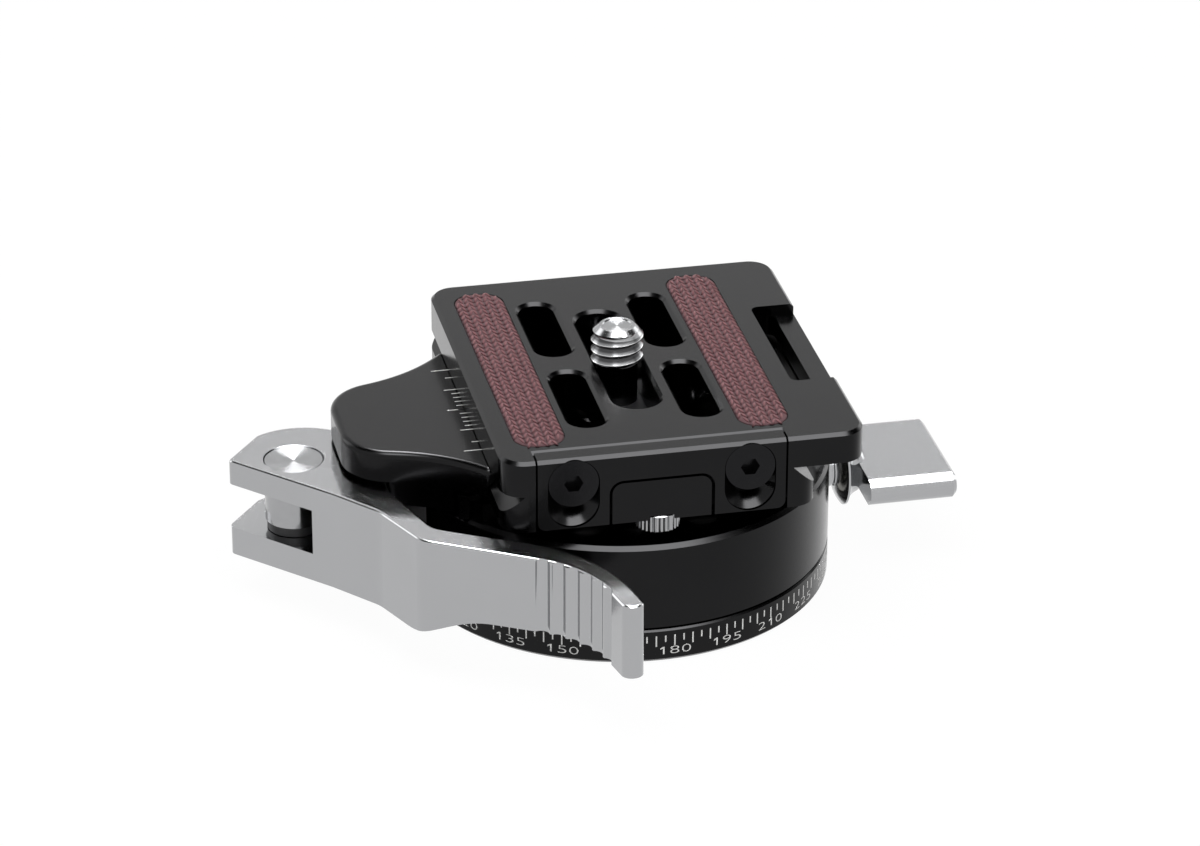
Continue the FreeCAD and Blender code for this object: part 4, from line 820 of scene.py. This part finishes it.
class TRIPOD_OT_scale(bpy.types.Operator):
    """Print the scale on the moving jaw, along the camera plate"""
    bl_idname = "tripod.scale"
    bl_label = "Jaw scale"

    def execute(self, context):
        scale = context.scene.tripod_scale
        dial = context.scene.tripod_dial
        ink = print_ink(dial.print_colour)
        marks = piece_from("jaw_scale", bmesh.new(), ink)
        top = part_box("moving_jaw")[1].z
        depth = dial.proud + dial.sunk
        common = {"To X": -scale.end, "Height": top + dial.proud - depth / 2, "Mark Width": scale.mark_width,
                  "Mark Depth": depth, "Material": ink}
        rows = ((3, 10, -10, scale.long_start), (2, 10, -5, scale.medium_start),
                (9, 1, -4, scale.short_start), (2, 16, -8, scale.short_start))
        for count, pitch, first, start in rows:
            with_nodes(marks, row_of_marks(), {**common, "Count": count, "Pitch": pitch * scale.pitch,
                                               "First": first * scale.pitch, "From X": -start})
        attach(marks, "jaw")
        return {"FINISHED"}


class TRIPOD_OT_pads(bpy.types.Operator):
    """Weave the two grip pads on top of the camera plate"""
    bl_idname = "tripod.pads"
    bl_label = "Grip pads"

    def execute(self, context):
        pads = context.scene.tripod_pads
        low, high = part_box("grip_pads")
        width = high.x - PAD_INNER_X
        length = high.y - low.y
        material = braid(pads, high.z, PAD_INNER_X, width)
        shape = bmesh.new()
        offset = high.x - width / 2
        pad_y = (low.y + high.y) / 2
        for side in (-1, 1):
            rounded_strip(shape, width / 2, length / 2, pads.end_radius, Vector((side * offset, pad_y, 0)),
                          low.z, high.z - pads.slab_down, pads.slab_down)
        backing = piece_from("braided_grip_pads", shape, material, smooth_under=40)
        values = {label: getattr(pads, label.lower().replace(" ", "_")) for label in (
            "End Radius", "Rows", "Stitch Length", "Stitch Width", "Stitch Height", "Lean", "Roll", "Uneven",
            "Seed")}
        with_nodes(backing, braided_field(), {
            **values, "Width": width, "Length": length, "Columns": 2 * pads.columns, "Pad Offset": offset,
            "Pad Y": pad_y, "Level": high.z - pads.stitch_height * STITCH_SUNK, "Material": material})
        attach(backing, "plate")
        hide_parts("grip_pads")
        return {"FINISHED"}


class TRIPOD_OT_camera_screw(bpy.types.Operator):
    """Cut the camera screw with its real thread"""
    bl_idname = "tripod.camera_screw"
    bl_label = "Camera screw"

    def execute(self, context):
        screws = context.scene.tripod_screws
        look = context.scene.tripod_finishes
        low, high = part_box("camera_screw")
        centre = Vector(((low.x + high.x) / 2, (low.y + high.y) / 2, 0))
        shape = bmesh.new()
        foot = self.thread(shape, screws, centre, high.z)
        radius = (high.x - low.x) / 2
        top = low.z + screws.head_thick
        rings = lathe(shape, [(radius - HEAD_EASE, low.z), (radius, low.z + HEAD_EASE),
                              (radius, top - HEAD_EASE), (radius - HEAD_EASE, top),
                              (screws.neck_radius, top), (screws.neck_radius, foot)], centre)
        socket_end(shape, rings[0], centre, screws.hex_across, screws.hex_depth, low.z)
        material = turned_metal(
            "turned_camera_screw", look, look.steel, look.steel_roughness, centre, tilt=0.14,
            painted_light=lambda place, base: self.worn_crests(place, base, look, screws, high.z - screws.tip_chamfer))
        screw = piece_from("threaded_camera_screw", shape, material, smooth_under=28)
        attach(screw, "screw")
        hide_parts("camera_screw")
        return {"FINISHED"}

    def worn_crests(self, place, base, look, screws, top):
        """The thread's colour: painted shade in the roots below the tip, and a painted highlight on the
        crests.
        """
        # Painted shade in the roots and a painted highlight on the crests, both fading out at the tip.
        reach = vectors("LENGTH", vectors("MULTIPLY", place, (1.0, 1.0, 0.0)))
        flank, highlit_crests = (
            ranged(reach, *(screws.thread_radius - screws.thread_depth * share for share in shares))
            for shares in (ROOT_SHADE, CREST_HIGHLIGHT))
        faced = ranged(axis(place, "Z"), top - TIP_FADE, top)
        shaded_roots = mixed(maths("MAXIMUM", flank, faced), (*look.roots, 1.0), base, data_type="RGBA")
        return mixed(highlit_crests * (1.0 - faced), shaded_roots, (*look.crests, 1.0), data_type="RGBA")

    def thread(self, shape, screws, centre, top):
        """Adds the thread and its faced tip, and returns the height where the neck starts."""
        pitch = screws.thread_pitch
        crest = screws.thread_radius
        root = crest - screws.thread_depth
        foot = top - screws.thread_length
        eased = screws.thread_depth * 0.1
        flanks = ((0.0, root), (0.06, root), (0.17, crest - eased), (0.21, crest), (0.33, crest),
                  (0.39, crest - eased), (0.78, root + eased), (0.86, root))
        turns = math.ceil(screws.thread_length / pitch) + 2
        grid = []
        for i in range(TURN_STEPS * turns + 1):
            turn = math.tau * i / TURN_STEPS
            start = foot - 1.5 * pitch + pitch * i / TURN_STEPS
            column = []
            for share, radius in (*flanks, (1.0, root)):
                z = min(max(start + share * pitch, foot), top)
                reach = min(radius, crest - screws.tip_chamfer + (top - z),
                            screws.neck_radius + (z - foot) * RUN_OUT)
                column.append(shape.verts.new(centre + polar(reach, turn, z)))
            grid.append(column)
        for before, after in zip(grid, grid[1:]):
            for j in range(len(flanks)):
                corners = (before[j], after[j], after[j + 1], before[j + 1])
                if len({tuple(round(c / 1e-8) for c in v.co) for v in corners}) > 2:
                    shape.faces.new(corners)
        tip = crest - screws.tip_chamfer
        lathe(shape, [(tip, top), (tip - 3 * TIP_DISH, top), (tip - 4 * TIP_DISH, top - TIP_DISH),
                      (0, top - TIP_DISH)], centre)
        return foot


class TRIPOD_OT_stop_screws(bpy.types.Operator):
    """Knurl the two stop screws under the camera plate"""
    bl_idname = "tripod.stop_screws"
    bl_label = "Stop screws"

    def execute(self, context):
        screws = context.scene.tripod_screws
        look = context.scene.tripod_finishes
        low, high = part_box("stop_screws")
        steel = metal("knurled_steel", look.steel, look.steel_roughness, look.grain, patch=1.5 * MM)
        radius = screws.stop_head_radius
        body = radius - screws.knurl_width * KNURL_HEIGHT
        shank = screws.stop_shank_radius
        top = low.z + screws.stop_head_height
        profile = [(body - STOP_EASE, low.z), (body, low.z + STOP_EASE), (body, top - STOP_EASE),
                   (body - STOP_EASE, top), (shank, top), (shank, high.z - STOP_EASE),
                   (shank - STOP_EASE, high.z), (0, high.z)]
        shape = bmesh.new()
        centres = [Vector((0, y, 0)) for y in (low.y + radius, high.y - radius)]
        for centre in centres:
            rings = lathe(shape, profile, centre)
            socket_end(shape, rings[0], centre, screws.stop_hex, STOP_SOCKET_DEPTH, low.z)
        heads = piece_from("knurled_stop_screws", shape, steel, smooth_under=30)
        for centre in centres:
            with_nodes(heads, knurled_ring(), {
                "Count": screws.knurl_count, "Radius": radius - screws.knurl_width * KNURL_REACH,
                "Centre": (centre.x, centre.y, (low.z + top) / 2), "Knurl Width": screws.knurl_width,
                "Knurl Height": top - low.z - 2 * STOP_EASE, "Material": steel})
        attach(heads, "plate")
        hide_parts("stop_screws")
        return {"FINISHED"}


class TRIPOD_OT_stage(bpy.types.Operator):
    """Lay the floor, hang the soft lights and set the camera"""
    bl_idname = "tripod.stage"
    bl_label = "Stage"

    def execute(self, context):
        scene = context.scene
        stage = scene.tripod_stage
        self.floor(stage)
        self.world(scene, stage)
        self.lamp(scene, stage)
        self.camera(scene, stage)
        scene.view_settings.view_transform = "Standard"
        return {"FINISHED"}

    def white_to_lens(self, tree):
        """1 for camera, glossy and transmission rays."""
        camera, glossy, clear = (flow(tree, "ShaderNodeLightPath", f"Is {ray} Ray")
                                 for ray in ("Camera", "Glossy", "Transmission"))
        return maths("MAXIMUM", maths("MAXIMUM", camera, glossy), clear)

    def floor(self, stage):
        shape = bmesh.new()
        bmesh.ops.create_grid(shape, x_segments=1, y_segments=1, size=stage.floor_size / 2)
        material = bpy.data.materials.new("pale_floor")
        material.use_nodes = True
        tree = material.node_tree
        tree.nodes.clear()
        matt = flow(tree, "ShaderNodeBsdfDiffuse", Color=FLOOR_GREY)
        glow = flow(tree, "ShaderNodeEmission", Color=(1.0, 1.0, 1.0, 1.0), Strength=FLOOR_GLOW)
        share = self.white_to_lens(tree) * FLOOR_SHARE
        lit = flow(tree, "ShaderNodeMixShader", Fac=share, in_1=matt, in_2=glow)
        put(tree, "ShaderNodeOutputMaterial", Surface=lit)
        floor = piece_from("floor", shape, material)

    def world(self, scene, stage):
        """A white surround, with bright panels and dark flags that only glossy surfaces show."""
        world = bpy.data.worlds.new("studio")
        world.use_nodes = True
        tree = world.node_tree
        tree.nodes.clear()
        around = flow(tree, "ShaderNodeTexCoord", "Generated")
        mirrored = 1.0
        for aim, half_width, half_height, level in STUDIO_PANELS:
            forward = Vector(aim).normalized()
            sideways = Vector((0, 0, 1)).cross(forward).normalized()
            mirrored = mirrored + use_group(
                tree, studio_panel(), Direction=around, Aim=forward, Sideways=sideways,
                Upwards=forward.cross(sideways), Half_Width=half_width, Half_Height=half_height,
                Level=level - 1.0)["Value"]
        glossy = mixed(flow(tree, "ShaderNodeLightPath", "Is Glossy Ray"), 1.0, mirrored)
        seen = mixed(self.white_to_lens(tree), stage.fill, glossy)
        backdrop = flow(tree, "ShaderNodeBackground", Color=(1.0, 1.0, 1.0, 1.0), Strength=seen)
        put(tree, "ShaderNodeOutputWorld", Surface=backdrop)
        world.cycles.sampling_method = "NONE"
        scene.world = world

    def lamp(self, scene, stage):
        light = bpy.data.lights.new("overhead_lamp", "AREA")
        light.shape = "RECTANGLE"
        light.size, light.size_y = LAMP_SIZE
        light.energy = stage.key
        holder = bpy.data.objects.new("overhead_lamp", light)
        holder.location = LAMP_PLACE
        holder.rotation_euler = (LAMP_TARGET - LAMP_PLACE).to_track_quat("-Z", "Y").to_euler()
        holder.visible_glossy = False
        scene.collection.objects.link(holder)

    def camera(self, scene, stage):
        back = Vector((math.sin(stage.heading) * math.cos(stage.height),
                       -math.cos(stage.heading) * math.cos(stage.height), math.sin(stage.height)))
        level = polar(1.0, stage.heading)
        upright = back.cross(level)
        right = level * math.cos(stage.roll) + upright * math.sin(stage.roll)
        up = upright * math.cos(stage.roll) - level * math.sin(stage.roll)
        lens = bpy.data.cameras.new("camera")
        lens.lens = stage.lens
        lens.clip_start, lens.clip_end = 0.02, 20.0
        holder = bpy.data.objects.new("camera", lens)
        holder.matrix_world = Matrix.Translation(Vector(stage.aim) + back * stage.distance) @ Matrix(
            (right, up, back)).transposed().to_4x4()
        scene.collection.objects.link(holder)
        scene.camera = holder


OPERATORS = (
    TRIPOD_OT_housings, TRIPOD_OT_controls, TRIPOD_OT_hardware, TRIPOD_OT_flange_screws, TRIPOD_OT_dial,
    TRIPOD_OT_scale, TRIPOD_OT_pads, TRIPOD_OT_camera_screw, TRIPOD_OT_stop_screws, TRIPOD_OT_stage)
SETTINGS = {
    "tripod_finishes": TRIPOD_PG_finishes, "tripod_dial": TRIPOD_PG_dial, "tripod_scale": TRIPOD_PG_scale,
    "tripod_pads": TRIPOD_PG_pads, "tripod_screws": TRIPOD_PG_screws, "tripod_stage": TRIPOD_PG_stage}


class TRIPOD_PT_panel(bpy.types.Panel):
    """Steps that dress the tripod head, and their settings"""
    bl_idname = "TRIPOD_PT_panel"
    bl_label = "Tripod Head"
    bl_space_type = "VIEW_3D"
    bl_region_type = "UI"
    bl_category = "Tripod Head"

    def draw(self, context):
        for operator in OPERATORS:
            self.layout.operator(operator.bl_idname)
        for name, group in SETTINGS.items():
            box = self.layout.box()
            for setting in group.__annotations__:
                box.prop(getattr(context.scene, name), setting)


CLASSES = (*SETTINGS.values(), *OPERATORS, TRIPOD_PT_panel)


def register():
    for item in CLASSES:
        bpy.utils.register_class(item)
    for name, settings in SETTINGS.items():
        setattr(bpy.types.Scene, name, PointerProperty(type=settings))


def unregister():
    for name in SETTINGS:
        delattr(bpy.types.Scene, name)
    for item in reversed(CLASSES):
        bpy.utils.unregister_class(item)


def main():
    register()
    for operator in OPERATORS:
        getattr(bpy.ops.tripod, operator.bl_idname.split(".")[1])()


if __name__ == "__main__":
    main()
